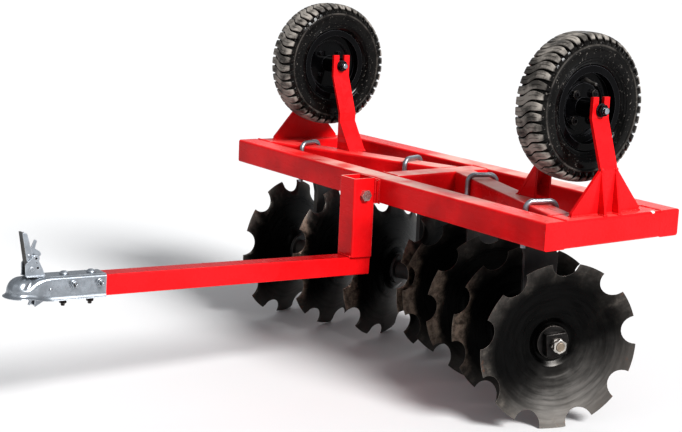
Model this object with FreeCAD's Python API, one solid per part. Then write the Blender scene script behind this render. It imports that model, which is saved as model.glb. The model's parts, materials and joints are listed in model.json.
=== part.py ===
"""Towed disc cultivator with a top-mounted transport axle, built piece by piece.

+X forwards to the hitch, +Y to the machine's left, +Z up, millimetres.
The origin is on the floor, on the machine's middle plane, below the middle of
its overall length. The functions measure X from the front face of the frame,
and save() moves each piece from there to its place about the origin.
The machine stands on its discs, with the transport wheels on top.
"""
import FreeCAD, Part
import math
import os

Vec = FreeCAD.Vector

# ---------------------------------------------------------------- driving sizes
FRAME_FRONT_X = -222.0      # front face of the frame, from the middle of the overall length
FRAME_WIDTH = 1200.0        # over the end rails, along Y
FRAME_DEPTH = 405.0         # front face to rear face, along X
RAIL = 60.0                 # side of the square frame tube
RAIL_WALL = 4.0
RAIL_CORNER = 6.0           # outer corner radius of the frame tube
CAP_THICK = 3.0             # plates that close the long rails' ends

DISC_R = 185.0              # disc radius over the teeth
DISC_THICK = 4.0
DISC_DISH = 40.0            # depth of the dish, rim plane to centre
DISC_FLAT_R = 48.0          # flat middle of the disc
DISC_BAND_R = 125.0         # where the steep rim band meets the flatter one
DISC_BAND_DEPTH = 0.6       # share of the dish reached there
DISC_NOTCHES = 9
NOTCH_HALF_DEG = 10.1       # half the angle a notch takes out of the rim
NOTCH_DEPTH = 31.0
DISCS_PER_GANG = 4
# turn of each disc's first notch from the forward horizontal, outermost disc first
DISC_TURNS_DEG = (10.7, 20.7, 0.7, 10.7)
GANG_ANGLE_DEG = 18.4       # gang shaft to the machine's cross direction
OUTER_DISC_INSET = 60.0     # rim centre of the outermost disc, in from the frame's side
MIDDLE_CLEAR = 11.9         # rim of the innermost disc to the machine's middle plane
GANG_BEAM_BEHIND = 40.4     # gang beam's middle line behind the front rail, at the end rail
AXLE_SET_BACK = 25.0        # gang shaft behind the gang beam's middle line
HUB_DROP = 234.0            # gang shaft below the underside of the frame

SHAFT_SIDE = 28.0           # square gang shaft
THREAD_GAP = 0.3            # radial, a threaded bar to what it passes through
SPOOL_R = 24.0
SPOOL_FLANGE_R = 38.0
SPOOL_FLANGE = 8.0
HUB_PLATE_R = 38.0
HUB_PLATE = 8.0
SQUARE_WASHER = 46.0
SQUARE_WASHER_THICK = 12.0
HUB_NUT_AF = 24.0           # across flats
HUB_NUT_THICK = 13.0
STUD_R = 8.0
STUD_OUT = 13.0             # stud end beyond the outer nut
HEAD_THICK = 8.0            # shaft head at the inner end of a gang
HEAD_R = 23.0

HANGER_IN = 125.0           # hanger legs, in from a rim plane along the shaft
HANGER_BAYS = (0, 2)        # a hanger stands in the first and in the third bay between discs
HANGER_THICK = 10.0
HANGER_TOP = 8.0            # thickness of the hanger's clamp plate
HANGER_LENGTH = 90.0        # clamp plate along the beam
HANGER_WIDTH = 110.0        # clamp plate across the beam
HANGER_NECK = 32.0          # leg plate's half width at the clamp plate
HANGER_WAIST = 41.0         # half width about the shaft's line, at the waist
HANGER_WAIST_DROP = 58.0    # waist below the frame
HOUSING_R = 42.0            # bearing housing round the spool
HANGER_FOOT = 38.0          # leg plate's half width at the shaft
HOUSING_LENGTH = 44.0
BEARING_GAP = 0.3           # radial, spool to housing

U_BAR = 12.0                # U-bolt bar diameter
U_BESIDE = 36.0             # U-bolt outwards of the hanger's leg, along the beam
U_SIDE_GAP = 1.0            # bar to tube side
U_TOP_GAP = 3.0             # bar to tube top, the bends sit on the corners
U_BEND_R = 18.0             # middle line of the bend
U_TAIL = 26.0               # leg below the clamp plate
U_NUT_AF = 19.0
U_NUT_THICK = 10.0

WHEEL_R = 162.0             # tyre over the tread
TYRE_WIDTH = 80.0
TREAD_EDGE = 14.0           # the tread's shoulder lies this much inside the tyre's radius
TREAD_FLAT = 0.62           # share of the tyre's width that the flat tread takes
SIDEWALL_R = 117.0          # widest place of the tyre
WHEEL_BACK = 24.8           # wheel axle behind the gang beam's middle line, at the inner arm's foot
WHEEL_RISE = 277.0          # wheel axle above the underside of the frame
RIM_R = 92.0                # lip of the rim
RIM_SEAT_R = 80.0           # where the tyre's bead sits
RIM_WELL_R = 64.0           # bottom of the rim's well
RIM_WELL_TOP = 12.6         # half width of the well at the bead seats
RIM_WELL_FLOOR = 10.0       # and at its bottom
RIM_WIDTH = 56.0            # between the lips
RIM_SHEET = 3.0
RIM_DISC = 5.0              # wheel disc that joins rim and hub
TYRE_GAP = 0.3              # tyre to the rim's lip
WHEEL_HUB_R = 21.0
WHEEL_HUB_LENGTH = 100.0
WHEEL_FLANGE_R = 52.0       # hub flange bolted to the wheel disc
WHEEL_FLANGE = 6.0
WHEEL_STUDS = 4
WHEEL_STUD_PCD = 80.0
WHEEL_STUD_R = 5.0
WHEEL_NUT_AF = 17.0
WHEEL_NUT_THICK = 8.0
AXLE_R = 8.0
AXLE_GAP = 0.3              # radial, wheel hub to axle
AXLE_SPACER_R = 13.0
AXLE_OUT = 18.0             # axle end beyond the arm
AXLE_NUT_AF = 24.0
AXLE_NUT_THICK = 8.0
AXLE_WASHER_R = 15.0
AXLE_WASHER = 2.5

ARM_THICK = 8.0
ARM_WIDTH = 50.0
ARM_TOP_Y = 63.5            # far face of an arm's top, from the middle of the wheel
ARM_ABOVE_AXLE = 28.0
ARM_SLOT_GAP = 0.3          # radial, axle in the arm's open slot
OUTER_UPPER_BEND = 17.0     # bends below the axle
INNER_UPPER_BEND = 27.0
ARM_LOWER_BEND = 122.0
ARM_JOGGLE = 38.0           # an arm's lower part stands this much further from the wheel
OUTER_FOOT_INSET = 23.0     # outer face of the outer foot, in from the frame's side
INNER_STRAIGHT = 21.0       # straight length of the inner arm below its joggle
INNER_LEAN = 50.0           # the inner arm leans out once more down to its foot
OUTER_FOOT_WIDTH = 204.0
GUSSET_LAND = 8.0           # upright edge at the foot's two ends
FIN_THICK = 6.0
FIN_SPACING = 43.0
FIN_EDGE = 3.0              # a fin's toe stops this far inside the rail's edge

POST = 60.0                 # upright tube of the drawbar
POST_WALL = 4.0
POST_CORNER = 5.0
POST_PLATE = 6.0            # plate between the front rail and the post
POST_PLATE_WIDTH = 76.0
POST_PLATE_SHORT = 6.0      # plate's top edge below the rail's top
POST_BOLT_UP = 20.0         # post bolt above the underside of the frame
POST_BOLT_R = 8.0
POST_BOLT_AF = 24.0
POST_BOLT_HEAD = 10.0
POST_BOLT_TAIL = 5.0
DRAWBAR_SIDE = 45.0
DRAWBAR_WALL = 4.0
DRAWBAR_CORNER = 4.0
DRAWBAR_DROP = 128.0        # top of the drawbar below the underside of the frame, at the post
DRAWBAR_RISE_DEG = 2.3      # the drawbar climbs this much towards the coupler

SLEEVE_START = 625.0        # front face of the post to the coupler's sleeve
COUPLER_LENGTH = 212.0
COUPLER_SHEET = 3.0
COUPLER_SHOULDER = 2.4      # upper edges cut off over this much
SLEEVE_DEPTH = 17.5         # sleeve's lower edge below the drawbar's middle line
SLEEVE_LENGTH = 118.0       # straight part of the sleeve
SOCKET_R = 25.5             # takes a 50 mm ball
SOCKET_SKIRT = 12.0         # straight wall below the middle of the ball
LIP = 7.5                   # flared lip round the socket
LIP_THICK = 3.0
BAR_IN_COUPLER = 106.0      # how far the drawbar reaches into the coupler
COUPLER_BOLT_R = 4.0
COUPLER_BOLT_AF = 13.0
COUPLER_BOLT_HEAD = 5.5
COUPLER_NUT_THICK = 6.5
COUPLER_BOLT_TAIL = 10.0    # threaded end beyond the nut
COUPLER_WASHER_R = 8.5
COUPLER_WASHER = 1.6
UPRIGHT_BOLTS = (32.0, 90.0)    # from the sleeve's rear end
CROSS_BOLTS = (18.0, 76.0)
CROSS_BOLT_UP = 8.0         # above the drawbar's middle line
BRACKET_THICK = 3.0         # two cheeks that hold the lever
BRACKET_GAP = 23.0          # between the cheeks
LEVER_PIN_BACK = 17.0       # lever's pin behind the middle of the ball
LEVER_PIN_UP = 16.5         # above the coupler's top sheet
LEVER_PIN_R = 4.0
LEVER_PIN_GAP = 0.3
LEVER_SIDE_GAP = 1.0        # lever to cheek
LEVER_SHEET = 3.0
LEVER_FOOT_R = 11.0         # round foot about the pin
BRACKET_FOOT = 2.0          # foot plate between the cheeks
# side views about the pin, (x, z): a cheek above the top sheet, the lever and its safety catch above the pin
CHEEK_LINE = ((11, 0), (10, 30), (2, 45), (-8, 45), (-14, 39), (-10, 33), (-21, 18), (-27, 0))
LEVER_LINE = ((10, 0), (26, 74), (13, 72), (1, 30), (-11, 6), (-11, 0))
CATCH_LINE = ((9, 22), (9, 34), (-3, 61), (-9, 59), (-2, 30), (2, 20))
CATCH_RIVET = (5.0, 27.0)
CATCH_RIVET_R = 3.0
CATCH_RIVET_OUT = 0.5       # rivet's end beyond the lever's cheek
CLAMP_WALL = 4.0            # wall that grips the ball from behind
CLAMP_TAB_SHEET = 3.0       # pull tab of the ball clamp, folded from sheet
CLAMP_TAB_FRONT = 3.0       # its front face ahead of the wall's rear face
CLAMP_TAB_LENGTH = 37.0
CLAMP_TAB_DEPTH = 18.0
CLAMP_TAB_WIDTH = 22.0

# ---------------------------------------------------------------- worked-out places
GANG = math.radians(GANG_ANGLE_DEG)
FRAME_BOTTOM = DISC_R + HUB_DROP
FRAME_TOP = FRAME_BOTTOM + RAIL
HALF = FRAME_WIDTH / 2
OUTER_DISC_Y = HALF - OUTER_DISC_INSET
GANG_RUN = OUTER_DISC_Y - MIDDLE_CLEAR - DISC_R * math.sin(GANG)
DISC_PITCH = GANG_RUN / math.cos(GANG) / (DISCS_PER_GANG - 1)
GANG_BEAM_X0 = -RAIL - GANG_BEAM_BEHIND - (HALF - RAIL) * math.tan(GANG)
WHEEL_Y = HALF - OUTER_FOOT_INSET - ARM_JOGGLE - ARM_TOP_Y
INNER_FOOT_Y = WHEEL_Y - ARM_TOP_Y - ARM_JOGGLE - INNER_LEAN
WHEEL_X = GANG_BEAM_X0 + INNER_FOOT_Y * math.tan(GANG) - WHEEL_BACK
WHEEL_Z = FRAME_BOTTOM + WHEEL_RISE
POST_FRONT = POST_PLATE + POST
SIDES = (("left", 1), ("right", -1))


# ---------------------------------------------------------------- helpers
def save(node, *solids):
    """Write one node's solids to its own STEP file."""
    shape = solids[0] if len(solids) == 1 else Part.makeCompound(list(solids))
    shape = shape.copy()
    shape.translate(Vec(FRAME_FRONT_X, 0, 0))
    shape.exportStep("parts/%s.step" % node)


def mirrored(shape, side):
    """The piece itself on the left, its mirror image on the right."""
    if side > 0:
        return shape
    return shape.mirror(Vec(0, 0, 0), Vec(0, 1, 0))


def box(low, high):
    return Part.makeBox(high[0] - low[0], high[1] - low[1], high[2] - low[2], Vec(*low))


def cylinder(start, end, radius):
    start = Vec(*start)
    along = Vec(*end) - start
    return Part.makeCylinder(radius, along.Length, start, along)


def prism(points, along):
    """Extrude the closed outline through points."""
    outline = Part.makePolygon([Vec(*p) for p in points] + [Vec(*points[0])])
    return Part.Face(outline).extrude(Vec(*along))


def rounded_square(side, radius, length):
    """A solid bar on +X from the origin, its square section rounded at the corners."""
    half = side / 2
    flat = half - radius
    edges = []
    for quarter in range(4):
        turn = FreeCAD.Rotation(Vec(1, 0, 0), 90 * quarter)
        start = turn.multVec(Vec(0, half, -flat))
        end = turn.multVec(Vec(0, half, flat))
        middle = turn.multVec(Vec(0, flat + radius * math.sqrt(0.5), flat + radius * math.sqrt(0.5)))
        corner = turn.multVec(Vec(0, flat, half))
        edges.append(Part.makeLine(start, end))
        edges.append(Part.Arc(end, middle, corner).toShape())
    return Part.Face(Part.Wire(edges)).extrude(Vec(length, 0, 0))


def square_tube(side, wall, corner, length):
    """A square tube on +X from the origin."""
    inner = rounded_square(side - 2 * wall, max(corner - wall, 1.0), length + 2)
    inner.translate(Vec(-1, 0, 0))
    return rounded_square(side, corner, length).cut(inner)


def placed(shape, origin, turn_z_deg=0.0, turn_y_deg=0.0):
    """Turn about Y, then about Z, then move to origin."""
    shape = shape.copy()
    spin = FreeCAD.Rotation(Vec(0, 0, 1), turn_z_deg) * FreeCAD.Rotation(Vec(0, 1, 0), turn_y_deg)
    shape.Placement = FreeCAD.Placement(Vec(*origin), spin)
    return shape


def placed_again(shape, origin, turn_z_deg):
    """Turn a shape that already has a place about the origin's Z axis, then move it."""
    shape = shape.copy()
    shape.rotate(Vec(0, 0, 0), Vec(0, 0, 1), turn_z_deg)
    shape.translate(Vec(*origin))
    return shape


def hexagon(across_flats, thick):
    """A hexagonal nut blank on +X from the origin."""
    corner = across_flats / math.sqrt(3)
    points = []
    for k in range(6):
        angle = math.radians(60 * k)
        points.append((0, corner * math.cos(angle), corner * math.sin(angle)))
    return prism(points, (thick, 0, 0))


# ---------------------------------------------------------------- frame
def build_frame():
    middle_z = FRAME_BOTTOM + RAIL / 2
    long_rail = square_tube(RAIL, RAIL_WALL, RAIL_CORNER, FRAME_WIDTH - 2 * CAP_THICK)
    rails = (("front_rail", -RAIL / 2), ("rear_rail", -FRAME_DEPTH + RAIL / 2))
    caps = []
    for node, x in rails:
        save(node, placed(long_rail, (x, -HALF + CAP_THICK, middle_z), 90))
        cap = rounded_square(RAIL, RAIL_CORNER, CAP_THICK)
        caps.append(placed(cap, (x, -HALF, middle_z), 90))
        caps.append(placed(cap, (x, HALF - CAP_THICK, middle_z), 90))
    save("rail_caps", *caps)

    end_rail = square_tube(RAIL, RAIL_WALL, RAIL_CORNER, FRAME_DEPTH - 2 * RAIL)
    for name, side in SIDES:
        place = (-FRAME_DEPTH + RAIL, side * (HALF - RAIL / 2), middle_z)
        save(name + "_end_rail", placed(end_rail, place))
    save("centre_beam", placed(end_rail, (-FRAME_DEPTH + RAIL, 0, middle_z)))

    # the gang beams run between the centre beam and the end rails, cut flush to both
    run = FRAME_WIDTH
    start_y = -RAIL
    beam = square_tube(RAIL, RAIL_WALL, RAIL_CORNER, run)
    beam = placed(beam, (GANG_BEAM_X0 + start_y * math.tan(GANG), start_y, middle_z), 90 - GANG_ANGLE_DEG)
    room = box((-FRAME_DEPTH + RAIL, RAIL / 2, FRAME_BOTTOM - 1), (-RAIL, HALF - RAIL, FRAME_TOP + 1))
    beam = beam.common(room).Solids[0]
    for name, side in SIDES:
        save(name + "_gang_beam", mirrored(beam, side))


# ---------------------------------------------------------------- gangs
def on_gang(shape, distance):
    """Put a shape made along +X, outwards, at a distance in from the outermost rim plane."""
    start_x = GANG_BEAM_X0 + OUTER_DISC_Y * math.tan(GANG) - AXLE_SET_BACK / math.cos(GANG)
    x = start_x - distance * math.sin(GANG)
    y = OUTER_DISC_Y - distance * math.cos(GANG)
    return placed(shape, (x, y, DISC_R), 90 - GANG_ANGLE_DEG)


def disc_blank():
    """The dished disc, rim plane at x = 0, its hollow side to +X, with a square hole."""
    back = DISC_THICK
    # (depth below the rim plane, radius) of the hollow face, rim to middle
    band = DISC_DISH * DISC_BAND_DEPTH
    bands = ((0.0, DISC_R), (band, DISC_BAND_R), (DISC_DISH, DISC_FLAT_R), (DISC_DISH, 0.0))
    points = [(-depth, radius, 0) for depth, radius in bands]
    points += [(-depth - back, radius, 0) for depth, radius in reversed(bands)]
    outline = Part.makePolygon([Vec(*p) for p in points] + [Vec(*points[0])])
    dish = Part.Face(outline).revolve(Vec(0, 0, 0), Vec(1, 0, 0), 360)
    half = SHAFT_SIDE / 2
    return dish.cut(box((-DISC_DISH - back - 1, -half, -half), (1, half, half)))


def notched_disc(first_notch_deg):
    """Cut round notches out of the rim, the first at an angle from the forward horizontal."""
    half_chord = DISC_R * math.sin(math.radians(NOTCH_HALF_DEG))
    chord_at = DISC_R * math.cos(math.radians(NOTCH_HALF_DEG))
    depth = NOTCH_DEPTH - (DISC_R - chord_at)
    notch_r = (half_chord ** 2 + depth ** 2) / (2 * depth)
    centre = chord_at - depth + notch_r
    disc = disc_blank()
    cutters = []
    for k in range(DISC_NOTCHES):
        angle = math.radians(first_notch_deg + 360.0 / DISC_NOTCHES * k)
        # +X of the disc points outwards, -Y forwards, +Z up
        y = -centre * math.cos(angle)
        z = centre * math.sin(angle)
        cutters.append(cylinder((-DISC_DISH, y, z), (DISC_THICK, y, z), notch_r))
    return disc.cut(cutters)


def spool():
    """One spacer between two discs: a round barrel with a flange at each end."""
    length = DISC_PITCH - DISC_THICK
    body = cylinder((0, 0, 0), (-length, 0, 0), SPOOL_R)
    for x in (0.0, -length + SPOOL_FLANGE):
        body = body.fuse(cylinder((x, 0, 0), (x - SPOOL_FLANGE, 0, 0), SPOOL_FLANGE_R))
    half = SHAFT_SIDE / 2
    return body.removeSplitter().cut(box((-length - 1, -half, -half), (1, half, half)))


def build_gangs():
    half = SHAFT_SIDE / 2
    outer_face = -DISC_DISH
    plate_end = outer_face + HUB_PLATE
    square_end = plate_end + SQUARE_WASHER_THICK
    nut_end = square_end + HUB_NUT_THICK
    last_back = (DISCS_PER_GANG - 1) * DISC_PITCH + DISC_DISH + DISC_THICK

    shaft = box((-last_back, -half, -half), (plate_end, half, half))
    shaft = shaft.fuse(cylinder((plate_end, 0, 0), (nut_end + STUD_OUT, 0, 0), STUD_R))
    square = SQUARE_WASHER / 2
    washer = box((plate_end, -square, -square), (square_end, square, square))
    washer = washer.cut(cylinder((plate_end - 1, 0, 0), (square_end + 1, 0, 0), STUD_R + THREAD_GAP))
    plate = cylinder((outer_face, 0, 0), (plate_end, 0, 0), HUB_PLATE_R)
    plate = plate.cut(box((outer_face - 1, -half, -half), (plate_end + 1, half, half)))
    nut = hexagon(HUB_NUT_AF, HUB_NUT_THICK)
    nut.translate(Vec(square_end, 0, 0))
    nut = nut.cut(cylinder((square_end - 1, 0, 0), (nut_end + 1, 0, 0), STUD_R + THREAD_GAP))
    hub_parts = plate.fuse([washer, nut])
    head = cylinder((-last_back, 0, 0), (-last_back - HEAD_THICK, 0, 0), HEAD_R)

    spools = []
    for k in range(DISCS_PER_GANG - 1):
        spools.append(on_gang(spool(), k * DISC_PITCH + DISC_DISH + DISC_THICK))
    for name, side in SIDES:
        save(name + "_gang_shaft", mirrored(on_gang(shaft.fuse(head), 0), side))
        save(name + "_gang_hub_nut", mirrored(on_gang(hub_parts, 0), side))
        save(name + "_spools", *[mirrored(piece, side) for piece in spools])
        for k, turn in enumerate(DISC_TURNS_DEG):
            disc = on_gang(notched_disc(turn), k * DISC_PITCH)
            save("%s_disc_%d" % (name, k + 1), mirrored(disc, side))


# ---------------------------------------------------------------- hangers and U-bolts
def u_bolt():
    """A U-bolt over a beam that runs along X, z = 0 at the beam's underside."""
    leg = RAIL / 2 + U_SIDE_GAP + U_BAR / 2
    top = RAIL + U_TOP_GAP + U_BAR / 2
    foot = -HANGER_TOP - U_TAIL
    bend = U_BEND_R
    slant = bend * (1 - math.sqrt(0.5))
    # (Y, Z): up one leg, round a bend, across the beam's top, round the other bend and down
    ends = [Vec(0, y, z) for y, z in ((-leg, foot), (-leg, top - bend), (-leg + bend, top),
                                      (leg - bend, top), (leg, top - bend), (leg, foot))]
    path = [
        Part.makeLine(ends[0], ends[1]),
        Part.Arc(ends[1], Vec(0, -leg + slant, top - slant), ends[2]).toShape(),
        Part.makeLine(ends[2], ends[3]),
        Part.Arc(ends[3], Vec(0, leg - slant, top - slant), ends[4]).toShape(),
        Part.makeLine(ends[4], ends[5]),
    ]
    section = Part.Wire(Part.makeCircle(U_BAR / 2, Vec(0, -leg, foot), Vec(0, 0, 1)))
    bolt = Part.Wire(path).makePipeShell([section], True, True)
    nuts = []
    for y in (-leg, leg):
        nut = placed(hexagon(U_NUT_AF, U_NUT_THICK), (0, y, -HANGER_TOP - U_NUT_THICK), 0, -90)
        nuts.append(nut.cut(cylinder((0, y, foot), (0, y, 0), U_BAR / 2 + THREAD_GAP)))
    pieces = [bolt] + nuts
    for piece in pieces:
        piece.translate(Vec(U_BESIDE, 0, 0))
    return pieces


def hanger():
    """The bracket under the beam that carries the gang's bearing, beam along X, z = 0 at its underside."""
    leg = RAIL / 2 + U_SIDE_GAP + U_BAR / 2
    start = U_BESIDE / 2 - HANGER_LENGTH / 2
    half_width = HANGER_WIDTH / 2
    top = box((start, -half_width, -HANGER_TOP), (start + HANGER_LENGTH, half_width, 0))
    for y in (-leg, leg):
        hole = cylinder((U_BESIDE, y, -HANGER_TOP - 1), (U_BESIDE, y, 1), U_BAR / 2 + THREAD_GAP)
        top = top.cut(hole)
    # the leg plate leans back from the beam to the shaft; +Y is to the rear here
    shaft_y = AXLE_SET_BACK
    # (middle line's Y, half width, Z) from the clamp plate down to the shaft
    levels = ((0.0, HANGER_NECK, -HANGER_TOP), (shaft_y, HANGER_WAIST, -HANGER_WAIST_DROP),
              (shaft_y, HANGER_FOOT, -HUB_DROP))
    start_x = -HANGER_THICK / 2
    profile = [(start_x, y + half_y, z) for y, half_y, z in levels]
    profile += [(start_x, y - half_y, z) for y, half_y, z in reversed(levels)]
    plate = prism(profile, (HANGER_THICK, 0, 0))
    long = HOUSING_LENGTH / 2
    ring = cylinder((-long, shaft_y, -HUB_DROP), (long, shaft_y, -HUB_DROP), HOUSING_R)
    bore_r = SPOOL_R + BEARING_GAP
    bore = cylinder((-2 * long, shaft_y, -HUB_DROP), (2 * long, shaft_y, -HUB_DROP), bore_r)
    return top.fuse([plate, ring]).cut(bore)


def build_hangers():
    places = [(word, bay * DISC_PITCH + HANGER_IN) for word, bay in zip(("outer", "inner"), HANGER_BAYS)]
    bracket = hanger()
    turn = 90 - GANG_ANGLE_DEG
    bolts = []
    for word, distance in places:
        # the hanger sits on the beam's middle line, square to the shaft
        y = OUTER_DISC_Y - distance * math.cos(GANG) - AXLE_SET_BACK * math.sin(GANG)
        x = GANG_BEAM_X0 + y * math.tan(GANG)
        bolts += [placed_again(piece, (x, y, FRAME_BOTTOM), turn) for piece in u_bolt()]
        body = placed_again(bracket, (x, y, FRAME_BOTTOM), turn)
        for name, side in SIDES:
            save("%s_%s_hanger" % (name, word), mirrored(body, side))
    for name, side in SIDES:
        save(name + "_u_bolts", *[mirrored(piece, side) for piece in bolts])


# ---------------------------------------------------------------- transport wheels
def bent_arm(line, upper_z):
    """A flat bar bent along line, a list of (Y of its far face, Z) from the top down, open slot on top."""
    wheel_way = 1 if line[0][0] < WHEEL_Y else -1
    inside = wheel_way * ARM_THICK
    half = ARM_WIDTH / 2
    outline = [(WHEEL_X - half, y, z) for y, z in line]
    outline += [(WHEEL_X - half, y + inside, z) for y, z in reversed(line)]
    shape = prism(outline, (ARM_WIDTH, 0, 0))
    slot_r = AXLE_R + ARM_SLOT_GAP
    low_y = line[0][0] - 2 * ARM_THICK
    high_y = line[0][0] + 2 * ARM_THICK
    slot = box((WHEEL_X - slot_r, low_y, WHEEL_Z), (WHEEL_X + slot_r, high_y, upper_z + 1))
    slot = slot.fuse(cylinder((WHEEL_X, low_y, WHEEL_Z), (WHEEL_X, high_y, WHEEL_Z), slot_r))
    return shape.cut(slot)


def fin_pair(corners):
    """Two upright stiffeners with the same (Y, Z) outline, side by side along X."""
    pieces = []
    for x in (-FIN_SPACING / 2, FIN_SPACING / 2):
        start = WHEEL_X + x - FIN_THICK / 2
        pieces.append(prism([(start, y, z) for y, z in corners], (FIN_THICK, 0, 0)))
    return pieces


def build_arms():
    top_z = WHEEL_Z + ARM_ABOVE_AXLE
    lower_z = WHEEL_Z - ARM_LOWER_BEND

    # outer arm: joggled out to the end rail, on a wide gusset plate with two fins
    top_y = WHEEL_Y + ARM_TOP_Y
    foot_y = top_y + ARM_JOGGLE
    outer = bent_arm([(top_y, top_z), (top_y, WHEEL_Z - OUTER_UPPER_BEND), (foot_y, lower_z),
                      (foot_y, FRAME_TOP)], top_z)
    half = ARM_WIDTH / 2
    half_foot = OUTER_FOOT_WIDTH / 2
    gusset = prism([
        (WHEEL_X - half, foot_y, lower_z), (WHEEL_X + half, foot_y, lower_z),
        (WHEEL_X + half_foot, foot_y, FRAME_TOP + GUSSET_LAND), (WHEEL_X + half_foot, foot_y, FRAME_TOP),
        (WHEEL_X - half_foot, foot_y, FRAME_TOP), (WHEEL_X - half_foot, foot_y, FRAME_TOP + GUSSET_LAND),
    ], (0, -ARM_THICK, 0))
    outer_fins = fin_pair([(foot_y, FRAME_TOP), (HALF - FIN_EDGE, FRAME_TOP), (foot_y, lower_z)])
    outer = outer.fuse([gusset] + outer_fins)

    # inner arm: the same joggle, a straight length, then a lean down to the gang beam, fins beside the wheel
    top_y = WHEEL_Y - ARM_TOP_Y
    joggle_y = top_y - ARM_JOGGLE
    lean_z = lower_z - INNER_STRAIGHT
    inner = bent_arm([(top_y, top_z), (top_y, WHEEL_Z - INNER_UPPER_BEND), (joggle_y, lower_z),
                      (joggle_y, lean_z), (INNER_FOOT_Y, FRAME_TOP)], top_z)
    inner = inner.fuse(fin_pair([(INNER_FOOT_Y, FRAME_TOP), (joggle_y + ARM_THICK, FRAME_TOP),
                                 (joggle_y + ARM_THICK, lean_z), (joggle_y, lean_z)]))
    for name, side in SIDES:
        save(name + "_outer_arm", mirrored(outer, side))
        save(name + "_inner_arm", mirrored(inner, side))


def turned(points):
    """Revolve an outline of (distance along Y, radius) about the wheel's axle."""
    outline = Part.makePolygon([Vec(0, y, r) for y, r in points] + [Vec(0, points[0][0], points[0][1])])
    shape = Part.Face(outline).revolve(Vec(0, 0, 0), Vec(0, 1, 0), 360)
    shape.translate(Vec(WHEEL_X, WHEEL_Y, WHEEL_Z))
    return shape


def across(start, end, radius):
    """A round bar on the wheel's axle line, its ends measured from the middle of the wheel."""
    return cylinder((WHEEL_X, WHEEL_Y + start, WHEEL_Z), (WHEEL_X, WHEEL_Y + end, WHEEL_Z), radius)


def build_wheels():
    half = TYRE_WIDTH / 2
    lip = RIM_WIDTH / 2
    flat = half * TREAD_FLAT
    bead = lip - TYRE_GAP
    clear_r = RIM_R + TYRE_GAP
    side = [(bead, RIM_SEAT_R), (bead, clear_r), (half, SIDEWALL_R), (half, WHEEL_R - TREAD_EDGE),
            (flat, WHEEL_R)]
    tyre = turned(side + [(-y, r) for y, r in reversed(side)])

    # rim: lip, bead seat and well as one sheet, with the wheel disc across the well
    sheet = RIM_SHEET
    # (distance along Y, radius), the tyre's side of the sheet and the open side
    outer_side = [(lip + sheet, RIM_R), (lip, RIM_R), (lip, RIM_SEAT_R), (RIM_WELL_TOP, RIM_SEAT_R),
                  (RIM_WELL_FLOOR, RIM_WELL_R)]
    inner_side = [(RIM_WELL_FLOOR - sheet, RIM_WELL_R - sheet), (RIM_WELL_TOP - sheet, RIM_SEAT_R - sheet),
                  (lip + sheet, RIM_SEAT_R - sheet)]
    ring = turned(outer_side + [(-y, r) for y, r in reversed(outer_side)]
                  + [(-y, r) for y, r in reversed(inner_side)] + inner_side)
    disc = RIM_DISC / 2
    web = across(-disc, disc, RIM_WELL_R - sheet / 2)
    hub_half = WHEEL_HUB_LENGTH / 2
    hub = across(-hub_half, hub_half, WHEEL_HUB_R)
    flange = across(disc, disc + WHEEL_FLANGE, WHEEL_FLANGE_R)
    nuts = []
    for k in range(WHEEL_STUDS):
        angle = math.radians(360.0 / WHEEL_STUDS * (k + 0.5))
        x = WHEEL_X + WHEEL_STUD_PCD / 2 * math.cos(angle)
        z = WHEEL_Z + WHEEL_STUD_PCD / 2 * math.sin(angle)
        nut = hexagon(WHEEL_NUT_AF, WHEEL_NUT_THICK)
        nuts.append(placed(nut, (x, WHEEL_Y + disc + WHEEL_FLANGE, z), 90))
        start = (x, WHEEL_Y - disc - WHEEL_NUT_THICK, z)
        end = (x, WHEEL_Y + disc + WHEEL_FLANGE + WHEEL_NUT_THICK + sheet, z)
        nuts.append(cylinder(start, end, WHEEL_STUD_R))
    rim = ring.fuse([web, hub, flange] + nuts).cut(across(-hub_half - 1, hub_half + 1, AXLE_R + AXLE_GAP))

    # axle: a bar with a spacer at each side of the hub, washers and nuts outside the arms
    reach = ARM_TOP_Y + AXLE_OUT
    arm_inside = ARM_TOP_Y - ARM_THICK
    fixings = []
    for way in (1, -1):
        fixings.append(across(way * (hub_half + TYRE_GAP), way * arm_inside, AXLE_SPACER_R))
        washer_end = ARM_TOP_Y + AXLE_WASHER
        fixings.append(across(way * ARM_TOP_Y, way * washer_end, AXLE_WASHER_R))
        nut = hexagon(AXLE_NUT_AF, AXLE_NUT_THICK)
        fixings.append(placed(nut, (WHEEL_X, WHEEL_Y + way * washer_end, WHEEL_Z), 90 * way))
    axle = across(-reach, reach, AXLE_R).fuse(fixings)
    for name, side in SIDES:
        save(name + "_tyre", mirrored(tyre, side))
        save(name + "_rim", mirrored(rim, side))
        save(name + "_wheel_axle", mirrored(axle, side))


# ---------------------------------------------------------------- drawbar
def on_drawbar(shape):
    """Put a shape made with +X along the drawbar, z = 0 on its middle line, x = 0 at the post's front."""
    rise = math.radians(DRAWBAR_RISE_DEG)
    middle = DRAWBAR_SIDE / 2
    top_z = FRAME_BOTTOM - DRAWBAR_DROP
    origin = (POST_FRONT + middle * math.sin(rise), 0, top_z - middle * math.cos(rise))
    shape = shape.copy()
    shape.rotate(Vec(0, 0, 0), Vec(0, 1, 0), -DRAWBAR_RISE_DEG)
    shape.translate(Vec(*origin))
    return shape


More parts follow.
